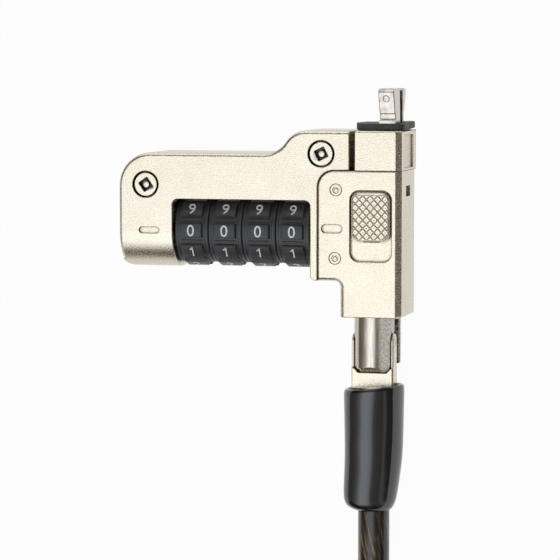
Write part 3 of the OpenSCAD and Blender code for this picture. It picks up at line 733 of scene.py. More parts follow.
def tube_along(name: str, line: list[Vector], radius: float, sides: int) -> Piece:
    """Makes a round tube with closed ends along a line, with a map that runs round it and along it.

    Args:
        name: the object's name.
        line: points in metres.
        radius: the tube's radius in millimetres.
        sides: how many sides it has.

    Returns:
        The tube.
    """
    verts, faces, uvs, places = [], [], [], []
    along, last = 0.0, len(line) - 1
    side = None
    for i, point in enumerate(line):
        way = (line[min(i + 1, last)] - line[max(i - 1, 0)]).normalized()
        side = way.cross(Vector((0, 0, 1))) if side is None else side - way * side.dot(way)
        side = side.normalized()
        over = side.cross(way)
        if i:
            along += (point - line[i - 1]).length
        places.append(along)
        for k in range(sides):
            a = 2 * math.pi * k / sides
            verts.append(point + radius * MM * (math.cos(a) * side + math.sin(a) * over))
    for i, (start, end) in enumerate(zip(places, places[1:])):
        for k in range(sides):
            n = (k + 1) % sides
            faces.append((i * sides + k, i * sides + n, (i + 1) * sides + n, (i + 1) * sides + k))
            u0, u1 = k / sides, (k + 1) / sides
            uvs += [(u0, start), (u1, start), (u1, end), (u0, end)]
    faces += [tuple(reversed(range(sides))), tuple(last * sides + k for k in range(sides))]
    uvs += [(0.5, 0.0)] * sides + [(0.5, along)] * sides
    mesh = bpy.data.meshes.new(name)
    mesh.from_pydata(verts, [], faces)
    for loop, uv in zip(mesh.uv_layers.new(name="along").data, uvs):
        loop.uv = uv
    piece = linked(bpy.data.objects.new(name, mesh))
    with edit_mode(piece):
        bpy.ops.mesh.normals_make_consistent(inside=False)
    return smooth(piece, 50)


def smooth_line(points: list[tuple], steps: int) -> list[Vector]:
    """Runs a smooth line through points in millimetres.

    Args:
        points: the points.
        steps: how many pieces each stretch gets.

    Returns:
        The line's points in metres.
    """
    p = [Vector(q) * MM for q in points]
    p = [2 * p[0] - p[1], *p, 2 * p[-1] - p[-2]]
    line = []
    for a, b, c, d in zip(p, p[1:], p[2:], p[3:]):
        for t in (s / steps for s in range(steps)):
            curve = (2 * a - 5 * b + 4 * c - d) * t * t + (3 * b - a - 3 * c + d) * t**3
            line.append(0.5 * (2 * b + (c - a) * t + curve))
    line.append(p[-2])
    return line


# ---------------------------------------------------------------- cable


@dataclass
class Cable:
    """The free cable with its coil, strap and eye."""

    diameter: float = 5.1
    coil_radius: float = 34.5
    coil_pitch: float = 5.6
    coil_centre: tuple = (-34.5, -94.5)
    coil_z: float = 3.15
    layers: int = 4
    layer_turns: float = 2.5
    rings_per_turn: int = 24
    run: tuple = (  # Y and Z from the boot to the coil, at X = 0
        (-44.8, 6.5), (-48, 6.5), (-51, 6.5), (-54, 6.5), (-57, 6.5), (-60, 6.45), (-63, 6.3),
        (-66, 6), (-69, 5.6), (-72, 5.1), (-75, 4.6), (-78, 4.1), (-81, 3.7), (-84, 3.4),
        (-87, 3.22), (-90, 3.15), (-92.25, 3.15),
    )  # fmt: skip
    tail: tuple = (
        (-0.5, -99.6, 20.3), (-1.9, -104.6, 21.3), (-4.1, -109.3, 22.8), (-7.1, -113.5, 24.3),
        (-10.8, -117, 25.35), (-15, -119.6, 25.55), (-19.8, -121, 25.55), (-24.8, -121, 25.55),
        (-29.6, -119.6, 25.55), (-33.9, -117.1, 25.55), (-37.4, -113.6, 25.55),
        (-39.8, -109.4, 25.55), (-41.2, -106, 25.55),
    )  # fmt: skip
    eye_way: tuple = (-0.38, 0.925)
    eye_length: float = 38.0
    eye_width: float = 27.0
    eye_radius: float = 1.9
    eye_lead: float = 2.4  # from the middle to each leg in the ferrule
    ferrule_length: float = 12.0
    ferrule_radius: float = 4.6
    groove_x: tuple = (3.4, 6.0, 8.6)
    groove_depth: float = 0.35
    groove_width: float = 0.9
    tie_width: float = 8.0
    tie_thickness: float = 0.5
    tie_play: tuple = (0.6, 0.3)  # from the cable to the strap, inside and outside the coil
    tie_round: tuple = (2.2, 1.7)  # how its corners are rounded, outside and inside

    def coil_point(self, t: float) -> tuple:
        """The coil's line after t turns, in millimetres."""
        layer = min(self.layers - 1, math.floor(t / self.layer_turns))
        share = t - layer * self.layer_turns
        inwards = share if layer % 2 == 0 else self.layer_turns - share
        r = self.coil_radius - self.coil_pitch * inwards
        climbs = sum(ease((t - k * self.layer_turns + 0.25) / 0.5) for k in range(1, self.layers))
        x, y = self.coil_centre
        a = -2 * math.pi * t
        return (x + r * math.cos(a), y + r * math.sin(a), self.coil_z + self.coil_pitch * climbs)

    def build(self, cable: Material, steel: Material, strap: Material) -> None:
        """Args:
            cable: finish of the sheathed cable.
            steel: finish of the ferrule.
            strap: finish of the strap.
        """
        rings = int(self.layers * self.layer_turns * self.rings_per_turn)
        coil = [self.coil_point(i / self.rings_per_turn) for i in range(rings + 1)]
        line = smooth_line([*((0, y, z) for y, z in self.run), *coil, *self.tail], 3)
        cord = dress(tube_along("cable", line, self.diameter / 2, 20), cable)
        keep(cord, "cable", "cable_sheath", "cable_run", "cable_coil", "cable_tail")
        self.eye(cable)
        self.ferrule(steel)
        self.strap(strap)

    def place_eye(self, piece: Piece) -> Piece:
        """Moves a piece modelled along +X at the origin to the cable's far end."""
        turn = turned(math.degrees(math.atan2(self.eye_way[1], self.eye_way[0])), "Z")
        piece.data.transform(moved(*self.tail[-1]) @ turn)
        return piece

    def eye(self, cable: Material) -> Piece:
        """Makes the loop at the far end."""
        start, lead, half = self.ferrule_length + 0.1, self.eye_lead, self.eye_width / 2
        reach = self.eye_length - half
        steps = [s / 5 for s in range(5)]
        legs = [(start + (reach - start) * s, lead + (half - lead) * ease(s), 0) for s in steps]
        legs.insert(1, (start + 0.5, lead, 0))
        angles = [math.pi * k / 14 for k in range(15)]
        bend = [(reach + half * math.sin(a), half * math.cos(a), 0) for a in angles]
        back = [(x, -y, 0) for x, y, _ in reversed(legs)]
        piece = tube_along("eye", smooth_line([*legs, *bend, *back], 3), self.eye_radius, 16)
        return keep(dress(self.place_eye(piece), cable), "cable", "cable_sheath", "eye_loop")

    def ferrule(self, steel: Material) -> Piece:
        """Makes the crimped ferrule: a drum with pressed grooves and rounded ends."""
        r, length = self.ferrule_radius, self.ferrule_length
        piece = drum("ferrule", Where.X, (length / 2, 0, 0), r, length, 48)
        for x in self.groove_x:
            radii = (r + 1, r - self.groove_depth)
            cut_ring(piece, Where.X, (x, 0, 0), radii, self.groove_width, 48)
        bevel_edges(piece, lambda at, way: 0.15 if 0.1 < at.x < length - 0.1 else 0.7)
        self.place_eye(smooth(piece))
        return keep(dress(piece, steel), "cable", "steel", "eye_ferrule")

    def strap(self, strap: Material) -> Piece:
        """Makes the strap round the coil's turns: a rounded band with an overlapping end."""
        around, pitch = self.diameter / 2, self.coil_pitch
        cx, cy = self.coil_centre
        play_in, play_out = self.tie_play
        inner = cx - (self.coil_radius - self.layer_turns * pitch - around - play_in)
        outer = cx - (self.coil_radius - pitch / 2 + around + play_out)
        top = self.coil_z + (self.layers - 1) * pitch + around + play_out
        t, w = self.tie_thickness, self.tie_width / 2
        band = block("coil_strap", (outer - t, cy - w, 0), (inner + t, cy + w, top + t))
        bevel_edges(band, lambda at, way: self.tie_round[0] if abs(way.y) > 0.9 else 0.0, 6)
        hollow = block("hollow", (outer, cy - w - 1, t), (inner, cy + w + 1, top))
        bevel_edges(hollow, lambda at, way: self.tie_round[1] if abs(way.y) > 0.9 else 0.0, 6)
        cut_away(band, hollow)
        w -= 0.3
        low, high = (outer + 4, cy - w, top + t - 0.1), (inner - 3, cy + w, top + t + 0.55)
        flap = bevel_edges(block("flap", low, high), lambda at, way: 0.25, 2)
        piece = dress(smooth(join("coil_strap", [band, flap])), strap)
        return keep(piece, "cable", "rubber", "coil_tie")


# ---------------------------------------------------------------- housing


@dataclass
class Housing:
    """The nickel-plated castings with their screws, rivets and rubber pad."""

    frame: dict
    rim: float = 0.6  # bevels of the front cover: round its outside
    seam: float = 0.26  # along its seam
    window_rim: float = 0.22
    nose_rim: float = 0.25
    well_rim: float = 0.12
    mark_rim: float = 0.07
    column_rim: float = 0.85  # bevel of the column's left edge
    slot_rim: float = 0.14
    column_end: tuple = (0.2, 0.4)  # bevels at the column's lower end: in front and at its corners
    head_z: tuple = (11.0, 11.5)  # the screws and the rivets are rounded above these heights
    left_end: float = -40.8
    window: tuple = (-31.8, -9.2, 5.0)  # its left side, right side and top
    window_reach: float = 5.6  # farther than this from the dials' axis, its left side is rounded
    lip: tuple = (-7.95, -6.7)  # right end and top of the lip below the dials
    seam_corner: tuple = (-8.1, 9.95)  # the front cover's seam runs right of this and below it
    nose_side: float = -2.9  # the front cover's end beside the nose block is right of this
    right_seam: tuple = (-7.7, 9.6)  # the right cover's seam runs left of this and above it
    shelf: tuple = (-5.3, 7.2)  # and left of this above that
    column_top: float = -7.1
    mark: tuple = (-35.72, 0.0)  # middle of the pressed mark on the left
    right_mark: tuple = (-5.35, 7.3)  # top of the pressed mark on the right cover
    lower_edge: float = -13.2  # an edge below this is at the column's lower end
    wells: tuple = (2.45, 2.14)  # radius of the screw wells in the CAD, and as drawn
    heads: tuple = (2.03, 1.86)
    pins: tuple = (0.4, 0.52)
    socket_reach: float = 1.25
    pad_curl: float = 0.2  # how far the pad's left end lifts
    pad_skew: float = 0.7  # how far its front left corner is pulled in
    pad_lift: float = 0.25  # how far its rear right corner lifts
    pad_left: tuple = (-1.2, -2.35)  # from where to where the left end curls
    pad_front: tuple = (6.0, 10.0)
    pad_right: tuple = (3.0, 4.6)

    def cover_width(self, at: Vector, way: Vector) -> float:
        """Bevel of the front cover's edges: wide on the outside, fine at wells, window and seam."""
        left, right, top = self.window
        front = at.z > FRONT_Z
        # Where edges run on almost straight, their widths change little by little, or the bevel
        # shoots out
        fade = share_of(at.z, 3.5, 8.0)
        in_window = left - 0.1 < at.x < right + 0.1 and at.y < top + 0.1
        in_lip = at.x < self.lip[0] and at.y < self.lip[1]
        if at.z < SHELL_Z:
            return BREAK
        if in_window or in_lip:
            outside = math.hypot(at.y, at.z - AXIS_Z) > self.window_reach and at.y < 0
            fading = abs(at.x - left) < 0.06 and outside
            return self.window_rim if front else self.window_rim * fade if fading else 0.0
        if any(math.dist((at.x, at.y), screw) < 2.6 for screw in SCREWS):
            return self.well_rim if front else 0.0
        if abs(at.x - self.mark[0]) < 2 and abs(at.y - self.mark[1]) < 0.8:
            return self.mark_rim if front else 0.0
        if at.x > self.seam_corner[0] and at.y < self.seam_corner[1]:
            return self.seam if front else 0.0
        if at.x > self.nose_side:
            return self.nose_rim
        if front:
            return self.rim
        return self.rim * fade if at.x < self.left_end + 0.05 else 0.0

    def slider_width(self, at: Vector, way: Vector) -> float:
        """Bevel of the right cover's edges."""
        below = at.y < self.lower_edge
        if at.z < SHELL_Z or at.z <= FRONT_Z and not below:
            return BREAK
        if at.z <= FRONT_Z:
            return self.column_end[1]
        by_mark = math.dist((at.x, at.y), self.right_mark) < 2.3
        in_corner = at.x < self.shelf[0] and at.y > self.shelf[1] and not by_mark
        if at.x < self.right_seam[0] or at.y > self.right_seam[1] or in_corner:
            return self.seam
        if at.y < self.column_top:
            return self.column_end[0] if below or at.x > 0 else self.column_rim
        return self.slot_rim

    def nose_width(self, at: Vector, way: Vector) -> float:
        """Bevel of the nose block's edges."""
        return 0.3 if at.y > 15.9 else 0.1

    def shell_width(self, at: Vector, way: Vector) -> float:
        """Bevel of the back shell's outer edges, but not the right one, which its shape rounds."""
        if at.x > 2.5 and at.z < 4.5:
            return 0.0
        in_window = -32 < at.x < -9 and at.y < 3.5
        return 0.5 if at.z < 0.05 and not in_window else BREAK

    def draw_in(self, piece: Piece, radii: tuple[float, float]) -> None:
        """Gives the cylinders of one radius round the screws' axes another at their upper end."""
        reach, radius = radii
        for vertex in piece.data.vertices:
            for x, y in SCREWS:
                off = Vector((vertex.co.x / MM - x, vertex.co.y / MM - y))
                if vertex.co.z > 10 * MM and abs(off.length - reach) < 0.03:
                    vertex.co.x = (x + off.x * radius / reach) * MM
                    vertex.co.y = (y + off.y * radius / reach) * MM

    def castings(self, nickel: Material) -> None:
        """Rounds the back shell, the two covers and the block behind the tip."""
        for node, name, width_at, segments in (
            ("back_shell", "shell_back", self.shell_width, 4),
            ("front_cover", "cover_front", self.cover_width, 3),
            ("slider_cover", "cover_slider", self.slider_width, 3),
            ("nose_block", "nose", self.nose_width, 3),
        ):
            piece = cad_copy(self.frame, node, name)
            if node == "front_cover":
                self.draw_in(piece, self.wells)
            keep(plated(bevel_edges(piece, width_at, segments), nickel), "housing", "nickel", node)

    def contact_pad(self, rubber: Material) -> None:
        """Rounds the rubber pad and lets its corners curl a little."""
        piece = bevel_edges(cad_copy(self.frame, "contact_pad", "pad"), lambda at, way: 0.18, 2)
        for vertex in piece.data.vertices:
            x, z = vertex.co.x / MM, vertex.co.z / MM
            left, front = share_of(x, *self.pad_left), share_of(z, *self.pad_front)
            right = share_of(x, *self.pad_right) * (1 - front)
            vertex.co.y += (self.pad_curl * left * left + self.pad_lift * right) * MM
            vertex.co.z -= self.pad_skew * left * front * MM
        keep(plated(piece, rubber), "housing", "rubber", "contact_pad")

    def screws(self, nickel: Material, fine: Material, socket_shade: Material) -> None:
        """Rounds the screw heads and the rivet heads, and paints shade into the screws' sockets
        with a dark steel.

        Args:
            nickel: finish of the screws' heads.
            fine: finish of the rivets' heads.
            socket_shade: the dark steel on the sockets' walls, which paints the shade down in them.
        """
        piece = cad_copy(self.frame, "cover_screws", "screws")
        self.draw_in(piece, self.heads)
        self.draw_in(piece, self.pins)
        bevel_edges(piece, lambda at, way: 0.1 if at.z > self.head_z[0] else 0.0, 2)
        keep(plated(piece, nickel), "housing", "nickel", "cover_screws")
        # The sockets' faces, but for the pins' tops, get the dark steel that paints the shade down
        # in them
        piece.data.materials.append(socket_shade)
        for polygon in piece.data.polygons:
            x, y, z = polygon.center / MM
            reach = min(math.dist((x, y), screw) for screw in SCREWS)
            pin_top = polygon.normal.z > 0.5 and z > BODY_T - 0.5
            if reach < self.socket_reach and self.head_z[0] < z < BODY_T - 0.2 and not pin_top:
                polygon.material_index = 1
        piece = cad_copy(self.frame, "rivet_pins", "rivets")
        bevel_edges(piece, lambda at, way: BREAK if at.z > self.head_z[1] else 0.0, 2)
        keep(plated(piece, fine), "housing", "nickel", "rivet_pins")


@dataclass
class Tip:
    """The two hooked blades."""

    frame: dict
    foot: float = 17.3  # the blades stand free above this
    head_foot: float = 18.8
    lean: float = 0.05  # how far the front blade leans to the left, over its height
    dimple: tuple = (2.75, 21.1, 10.4)
    dimple_radii: tuple = (0.55, 0.42)

    def build(self, steel: Material) -> None:
        """Rounds both blades and presses the ring into the front one."""
        for node, name, body in (
            ("hook_blade", "tip_front", "housing"),
            ("lock_blade", "tip_rear", "blade"),
        ):
            piece = cad_copy(self.frame, node, name)
            bevel_edges(piece, lambda at, way: 0.2 if at.y > self.foot else 0.05)
            if node == "hook_blade":
                cut_ring(piece, Where.Z, self.dimple, self.dimple_radii, 0.5, 32)
                for vertex in piece.data.vertices:
                    vertex.co.x -= self.lean * max(0.0, vertex.co.y / MM - self.head_foot) * MM
            keep(plated(piece, steel), body, "steel", node)


# ---------------------------------------------------------------- slider


@dataclass
class SliderButton:
    """The knurled thumb piece."""

    frame: dict
    centre_x: float = 0.65
    top: float = 6.45
    width: float = 6.1
    length: float = 7.68
    peak_z: float = 12.7
    border_z: float = 12.66
    base_z: float = 12.48  # the CAD top is lowered to this, under the fine one
    under_z: float = 12.3
    below_z: float = 9.0  # the button's wide part ends here
    pitch: tuple = (1.2, 1.29)
    first: float = -1.73  # a row of diamonds, from the top
    height: float = 0.1
    groove: float = 0.22  # share of a diamond that its grooves take
    dimple: tuple = (0.035, 0.16)  # depth of the dimple in a diamond, and its width as a share
    grid: float = 0.04
    border: float = 0.22
    border_top: float = 0.38
    border_step: float = 0.08
    edge_round: float = 0.24
    corner_round: float = 1.3

    def knurl_height(self, x: float, y: float) -> float:
        """Height of the knurl over its grooves at a place from the button's top middle."""
        best = FAR
        for shift in (0.0, 0.5):
            u = x / self.pitch[0] - 0.5 + shift
            v = (y - self.first) / self.pitch[1] + shift
            best = min(best, 2 * abs(u - round(u)) + 2 * abs(v - round(v)))
        depth, wide = self.dimple
        flank = share_of(best, 1, 1 - self.groove)
        return self.height * flank - depth * math.exp(-((best / wide) ** 2))

    def corner_reach(self, x: float, y: float) -> float:
        """How far a place from the button's middle lies inside the rounded corners."""
        r = self.corner_round
        dx, dy = abs(x) - (self.width / 2 - r), abs(y) - (self.length / 2 - r)
        return r - math.hypot(dx, dy) if dx > 0 and dy > 0 else FAR

    def top_height(self, x: float, y: float) -> float:
        """Height of the button's top: rounded edge, plain border and knurl."""
        corner = self.corner_reach(x, y + self.length / 2)
        from_edge = min(self.width / 2 - abs(x), -y, self.length + y, corner)
        rise = share_of(from_edge, 0, self.edge_round)
        rim = self.under_z + (self.border_z - self.under_z) * math.sqrt(1 - (1 - rise) ** 2)
        share = share_of(min(from_edge - self.border, -y - self.border_top), 0, self.border_step)
        knurl = self.peak_z - self.height + self.knurl_height(x, y)
        return rim + (knurl - rim) * share

    def build(self, nickel: Material) -> None:
        """Makes the button: its body and, as a fine grid, its knurled top."""
        base = cad_copy(self.frame, "slider_button", "button")
        for vertex in base.data.vertices:
            if vertex.co.z > (self.peak_z - 0.05) * MM:
                vertex.co.z = self.base_z * MM
            if vertex.co.z > self.below_z * MM:
                # Clear of the pocket's end when the slider is down
                vertex.co.y = max(vertex.co.y, (self.top - self.length) * MM)
        deselect()
        middle = (self.centre_x, self.top - self.length / 2, self.border_z)
        bpy.ops.mesh.primitive_grid_add(
            x_subdivisions=round(self.width / self.grid),
            y_subdivisions=round(self.length / self.grid),
            size=1,
            location=[c * MM for c in middle],
        )
        bpy.context.object.scale = (self.width * MM, self.length * MM, 1)
        face = settled("face")
        with edit_mode(face, "DESELECT"):
            pass
        for vertex in face.data.vertices:
            x, y = vertex.co.x / MM - self.centre_x, vertex.co.y / MM - self.top
            vertex.co.z = self.top_height(x, y) * MM
            vertex.select = self.corner_reach(x, y + self.length / 2) < -0.02
        with edit_mode(face, None):
            bpy.ops.mesh.delete(type="VERT")  # what the grid has outside the rounded corners
        piece = smooth(dress(join("button", [base, face]), nickel), 30)
        keep(piece, "slider", "nickel", "slider_button")


def return_spring(frame: dict, steel: Material) -> None:
    """Dresses the slider's return spring, which the slider presses together.

    Args:
        steel: finish of the spring.
    """
    piece = plated(cad_copy(frame, "return_spring", "spring"), steel)
    keep(piece, "housing", "steel", "return_spring")
    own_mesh(piece)


# ---------------------------------------------------------------- dials


@dataclass
class Dials:
    """Four dials with ten raised digit pads each."""

    ring_radius: float = 5.35
    width: float = 5.45
    bore: float = 3.33
    shoulder: float = 0.28  # rounding of the ring's outer edges
    groove_x: float = 2.2
    groove_depth: float = 0.1
    groove_width: float = 0.16
    pad_foot: float = 4.7
    pad_face: float = 5.83
    pad_half: tuple = (1.75, 1.125)  # half width and half height of a pad's face
    pad_flank: tuple = (0.3, 0.12)  # how much farther its foot reaches
    ridge_half: float = 0.15
    ridge_rise: float = 0.18
    ridge_turn: float = 18.0
    digit_high: float = 1.82
    paint_over: float = 0.03  # from how deep in the pad the digits reach to over its face
    paint_under: float = 0.05
    stroke: float = 0.2  # of the digit 1
    turn: float = 360 / DIGITS

    def ring(self) -> Piece:
        """Makes the dial's ring, with a bore and a shallow groove on each shoulder."""
        r = self.ring_radius
        outer = drum("ring", Where.X, (0, 0, 0), r, self.width, 90)
        cut_away(outer, drum("hole", Where.X, (0, 0, 0), self.bore, self.width + 2, 48))
        for x in (-self.groove_x, self.groove_x):
            radii = (r + 1, r - self.groove_depth)
            cut_ring(outer, Where.X, (x, 0, 0), radii, self.groove_width, 90)

        def width_at(at: Vector, way: Vector) -> float:
            """Only the two outer edges are rounded."""
            at_end = abs(at.x) > self.width / 2 - 0.02
            return self.shoulder if at_end and math.hypot(at.y, at.z) > r - 0.3 else 0.0

        return bevel_edges(outer, width_at)

    def pad(self) -> Piece:
        """Makes one digit pad, facing +Z, with sloping flanks and rounded edges."""
        (x, y), (more_x, more_y) = self.pad_half, self.pad_flank
        foot_x, foot_y = x + more_x, y + more_y
        low, high = (-foot_x, -foot_y, self.pad_foot), (foot_x, foot_y, self.pad_face)
        piece = block("pad", low, high)
        with edit_mode(piece, "DESELECT"):
            pass
        for polygon in piece.data.polygons:
            polygon.select = polygon.normal.z > 0.9
        with edit_mode(piece, None):
            bpy.ops.transform.resize(value=(x / foot_x, y / foot_y, 1))
        return bevel_edges(piece, lambda at, way: 0.14 if at.z > 5 else 0.0, 2)

    def ridge(self) -> Piece:
        """Makes the thin ridge in the valley after a pad."""
        x, y = self.pad_half[0], self.ridge_half
        piece = block("ridge", (-x, -y, self.pad_foot), (x, y, self.ring_radius + self.ridge_rise))
        bevel_edges(piece, lambda at, way: 0.08 if at.z > 5 else 0.0, 2)
        piece.data.transform(turned(self.ridge_turn))
        return piece

    def digit(self, value: int) -> Piece:
        """Makes one digit as a mesh lying on the pad that faces +Z, then turned to its own pad."""
        deselect()
        bpy.ops.object.text_add()
        text = bpy.context.object.data
        text.body = str(value)
        text.size = 1.0
        text.resolution_u = 6
        text.extrude = 0.02
        bpy.ops.object.convert(target="MESH")
        piece = bpy.context.object
        mesh = piece.data
        xs, ys = [v.co.x for v in mesh.vertices], [v.co.y for v in mesh.vertices]
        scale = self.digit_high / (max(ys) - min(ys))
        middle = Vector(((max(xs) + min(xs)) / 2, (max(ys) + min(ys)) / 2))
        for v in mesh.vertices:
            z = self.pad_face + (self.paint_over if v.co.z > 0 else -self.paint_under)
            v.co = Vector((*((v.co.xy - middle) * scale), z)) * MM
        mesh.transform(turned(self.turn * value))
        return piece

    def one(self) -> Piece:
        """Makes the digit 1 where digit() would: the plain font leaves out its flag."""
        half, stroke = self.digit_high / 2, self.stroke
        low, high = self.pad_face - self.paint_under, self.pad_face + self.paint_over
        stem = block("one", (-0.02, -half, low), (-0.02 + stroke, half, high))
        flag = block("flag", (-0.62, -stroke / 2, low), (0.02, stroke / 2, high))
        flag.data.transform(moved(0.12, half - 0.14, 0) @ turned(38, "Z"))
        piece = join("one", [stem, flag])
        piece.data.transform(turned(self.turn))
        return piece

    def build(self, plastic: Material, paint: Material) -> None:
        """Makes one dial and its digits, and copies them four times.

        Args:
            plastic: finish of the dial.
            paint: finish of the digits.
        """
        pad, ridge = self.pad(), self.ridge()
        parts = [self.ring()]
        for k in range(DIGITS):
            turn = turned(self.turn * k)
            parts += [copied(pad, "pad_copy", turn), copied(ridge, "ridge_copy", turn)]
        dial = dress(smooth(join("dial", parts), 30), plastic)
        figures = [self.one() if k == 1 else self.digit(k) for k in range(DIGITS)]
        digits = dress(join("digits", figures), paint)
        for i, x in enumerate(DIAL_X, 1):
            move = moved(x, 0, AXIS_Z)
            wheel = f"wheel_{i}"
            keep(copied(dial, f"dial_{i}", move), wheel, "dial_plastic", f"dial_wheel_{i}")
            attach(copied(digits, f"digits_{i}", move), wheel)
        for piece in (pad, ridge, dial, digits):
            bpy.data.objects.remove(piece)


# ---------------------------------------------------------------- swivel and boot


@dataclass
class Swivel:
    """The turned barrel, its fork and the cable's boot."""

    frame: dict
    tongue_z: float = 2.0
    column_end: float = -13.0
    fork_rim: float = 0.22
    boot_top: float = -24.75
    boot_end: float = -44.8
    boot_wall: float = 0.9
    boot_radius: float = 4.86
    boot_low: float = 4.32
    lean: float = 0.6  # how far the lower end stands to the left
    lean_from: tuple = (-36.5, -43.0)
    core: tuple = (2.7, 3.7)  # what lies inside these radii round the cable stays in its place
    rim_slope: float = 0.095  # how much the rim rises to the right
    slope_from: tuple = (-31.0, -27.0)
    flat_side: float = 35.0  # where the boot is a little flat, in degrees to the right of its front
    flatter: float = 0.085
    wider: float = 0.0185
    round_rim: tuple = (4.0, 0.65)  # over this height at the rim, the flat loses this share

    def metal(self, steel: Material, nickel: Material, tongue_shade: Material) -> None:
        """Rounds the barrel and the fork, and paints the shade behind the barrel onto its tongue
        with a dark steel.

        Args:
            steel: finish of the barrel.
            nickel: finish of the fork.
            tongue_shade: the dark steel on the tongue behind the barrel, which paints the shade
                there.
        """
        barrel = cad_copy(self.frame, "swivel_barrel", "barrel")
        bevel_edges(barrel, lambda at, way: BREAK if at.y < self.column_end else 0.0, 2)
        keep(plated(barrel, steel), "swivel", "steel", "swivel_barrel")
        # The tongue behind the barrel gets a dark steel that paints the shade there
        barrel.data.materials.append(tongue_shade)
        for polygon in barrel.data.polygons:
            middle = polygon.center / MM
            if middle.z < self.tongue_z and middle.y < self.column_end:
                polygon.material_index = 1
        fork = cad_copy(self.frame, "yoke", "fork")
        bevel_edges(fork, lambda at, way: self.fork_rim if at.y < self.column_end else 0.0, 1)
        keep(plated(fork, nickel), "cable", "nickel", "yoke")

    def shaped(self, x: float, y: float, z: float) -> tuple[float, float, float]:
        """Where a place of the turned boot goes when it is dented and leans, Z from its axis."""
        outer = share_of(math.hypot(x, z), *self.core)
        slope = share_of(y, *self.slope_from) ** 2
        lean = ease(share_of(y, *self.lean_from))
        # A little flat on one side: less thick across the flat, a little wider along it
        rim_height, rim_loss = self.round_rim
        share = 1 - rim_loss * share_of(y, self.boot_top - rim_height, self.boot_top)
        sin, cos = math.sin(math.radians(self.flat_side)), math.cos(math.radians(self.flat_side))
        along = (x * cos - z * sin) * (1 + self.wider * share)
        across = (x * sin + z * cos) * (1 - self.flatter * share)
        new_x = along * cos + across * sin - self.lean * lean * outer
        return (new_x, y + self.rim_slope * x * slope, AXIS_Z - along * sin + across * cos)

    def boot(self, vinyl: Material) -> None:
        """Makes the dipped vinyl boot by spinning its profile, and dents it softly."""
        top, end, wall = self.boot_top, self.boot_end, self.boot_wall
        r, low = self.boot_radius, self.boot_low
        profile = [
            (2.6, end), (low - 2.0, end), (low - 1.15, end + 0.22), (low - 0.5, end + 0.8),
            (low - 0.14, end + 1.6), (low, end + 2.6), (low + 0.14, end + 4.4),
            (low + 0.34, end + 9), (r - 0.14, end + 13), (r - 0.04, top - 3), (r, top - 1.2),
            (r - 0.02, top - 0.5), (r - 0.14, top - 0.16), (r - 0.4, top), (r - 0.68, top - 0.12),
            (r - wall, top - 0.5), (r - wall, top - 1.6),
        ]  # fmt: skip
        mesh = bpy.data.meshes.new("boot")
        points = [(x * MM, y * MM, AXIS_Z * MM) for x, y in profile]
        mesh.from_pydata(points, [(i, i + 1) for i in range(len(profile) - 1)], [])
        piece = linked(bpy.data.objects.new("boot_cover", mesh))
        with edit_mode(piece):
            centre = (0, 0, AXIS_Z * MM)
            bpy.ops.mesh.spin(steps=64, angle=2 * math.pi, center=centre, axis=(0, 1, 0))
            bpy.ops.mesh.select_all(action="SELECT")
            bpy.ops.mesh.remove_doubles(threshold=1e-6)
            bpy.ops.mesh.normals_make_consistent(inside=False)
        for vertex in piece.data.vertices:
            x, y, z = vertex.co / MM
            vertex.co = Vector(self.shaped(x, y, z - AXIS_Z)) * MM
        modifier = piece.modifiers.new("smooth", "SUBSURF")
        modifier.levels = modifier.render_levels = 1
        finish_modifiers(piece)
        keep(smooth(dress(piece, vinyl), 60), "cable", "rubber", "boot")


# ---------------------------------------------------------------- studio


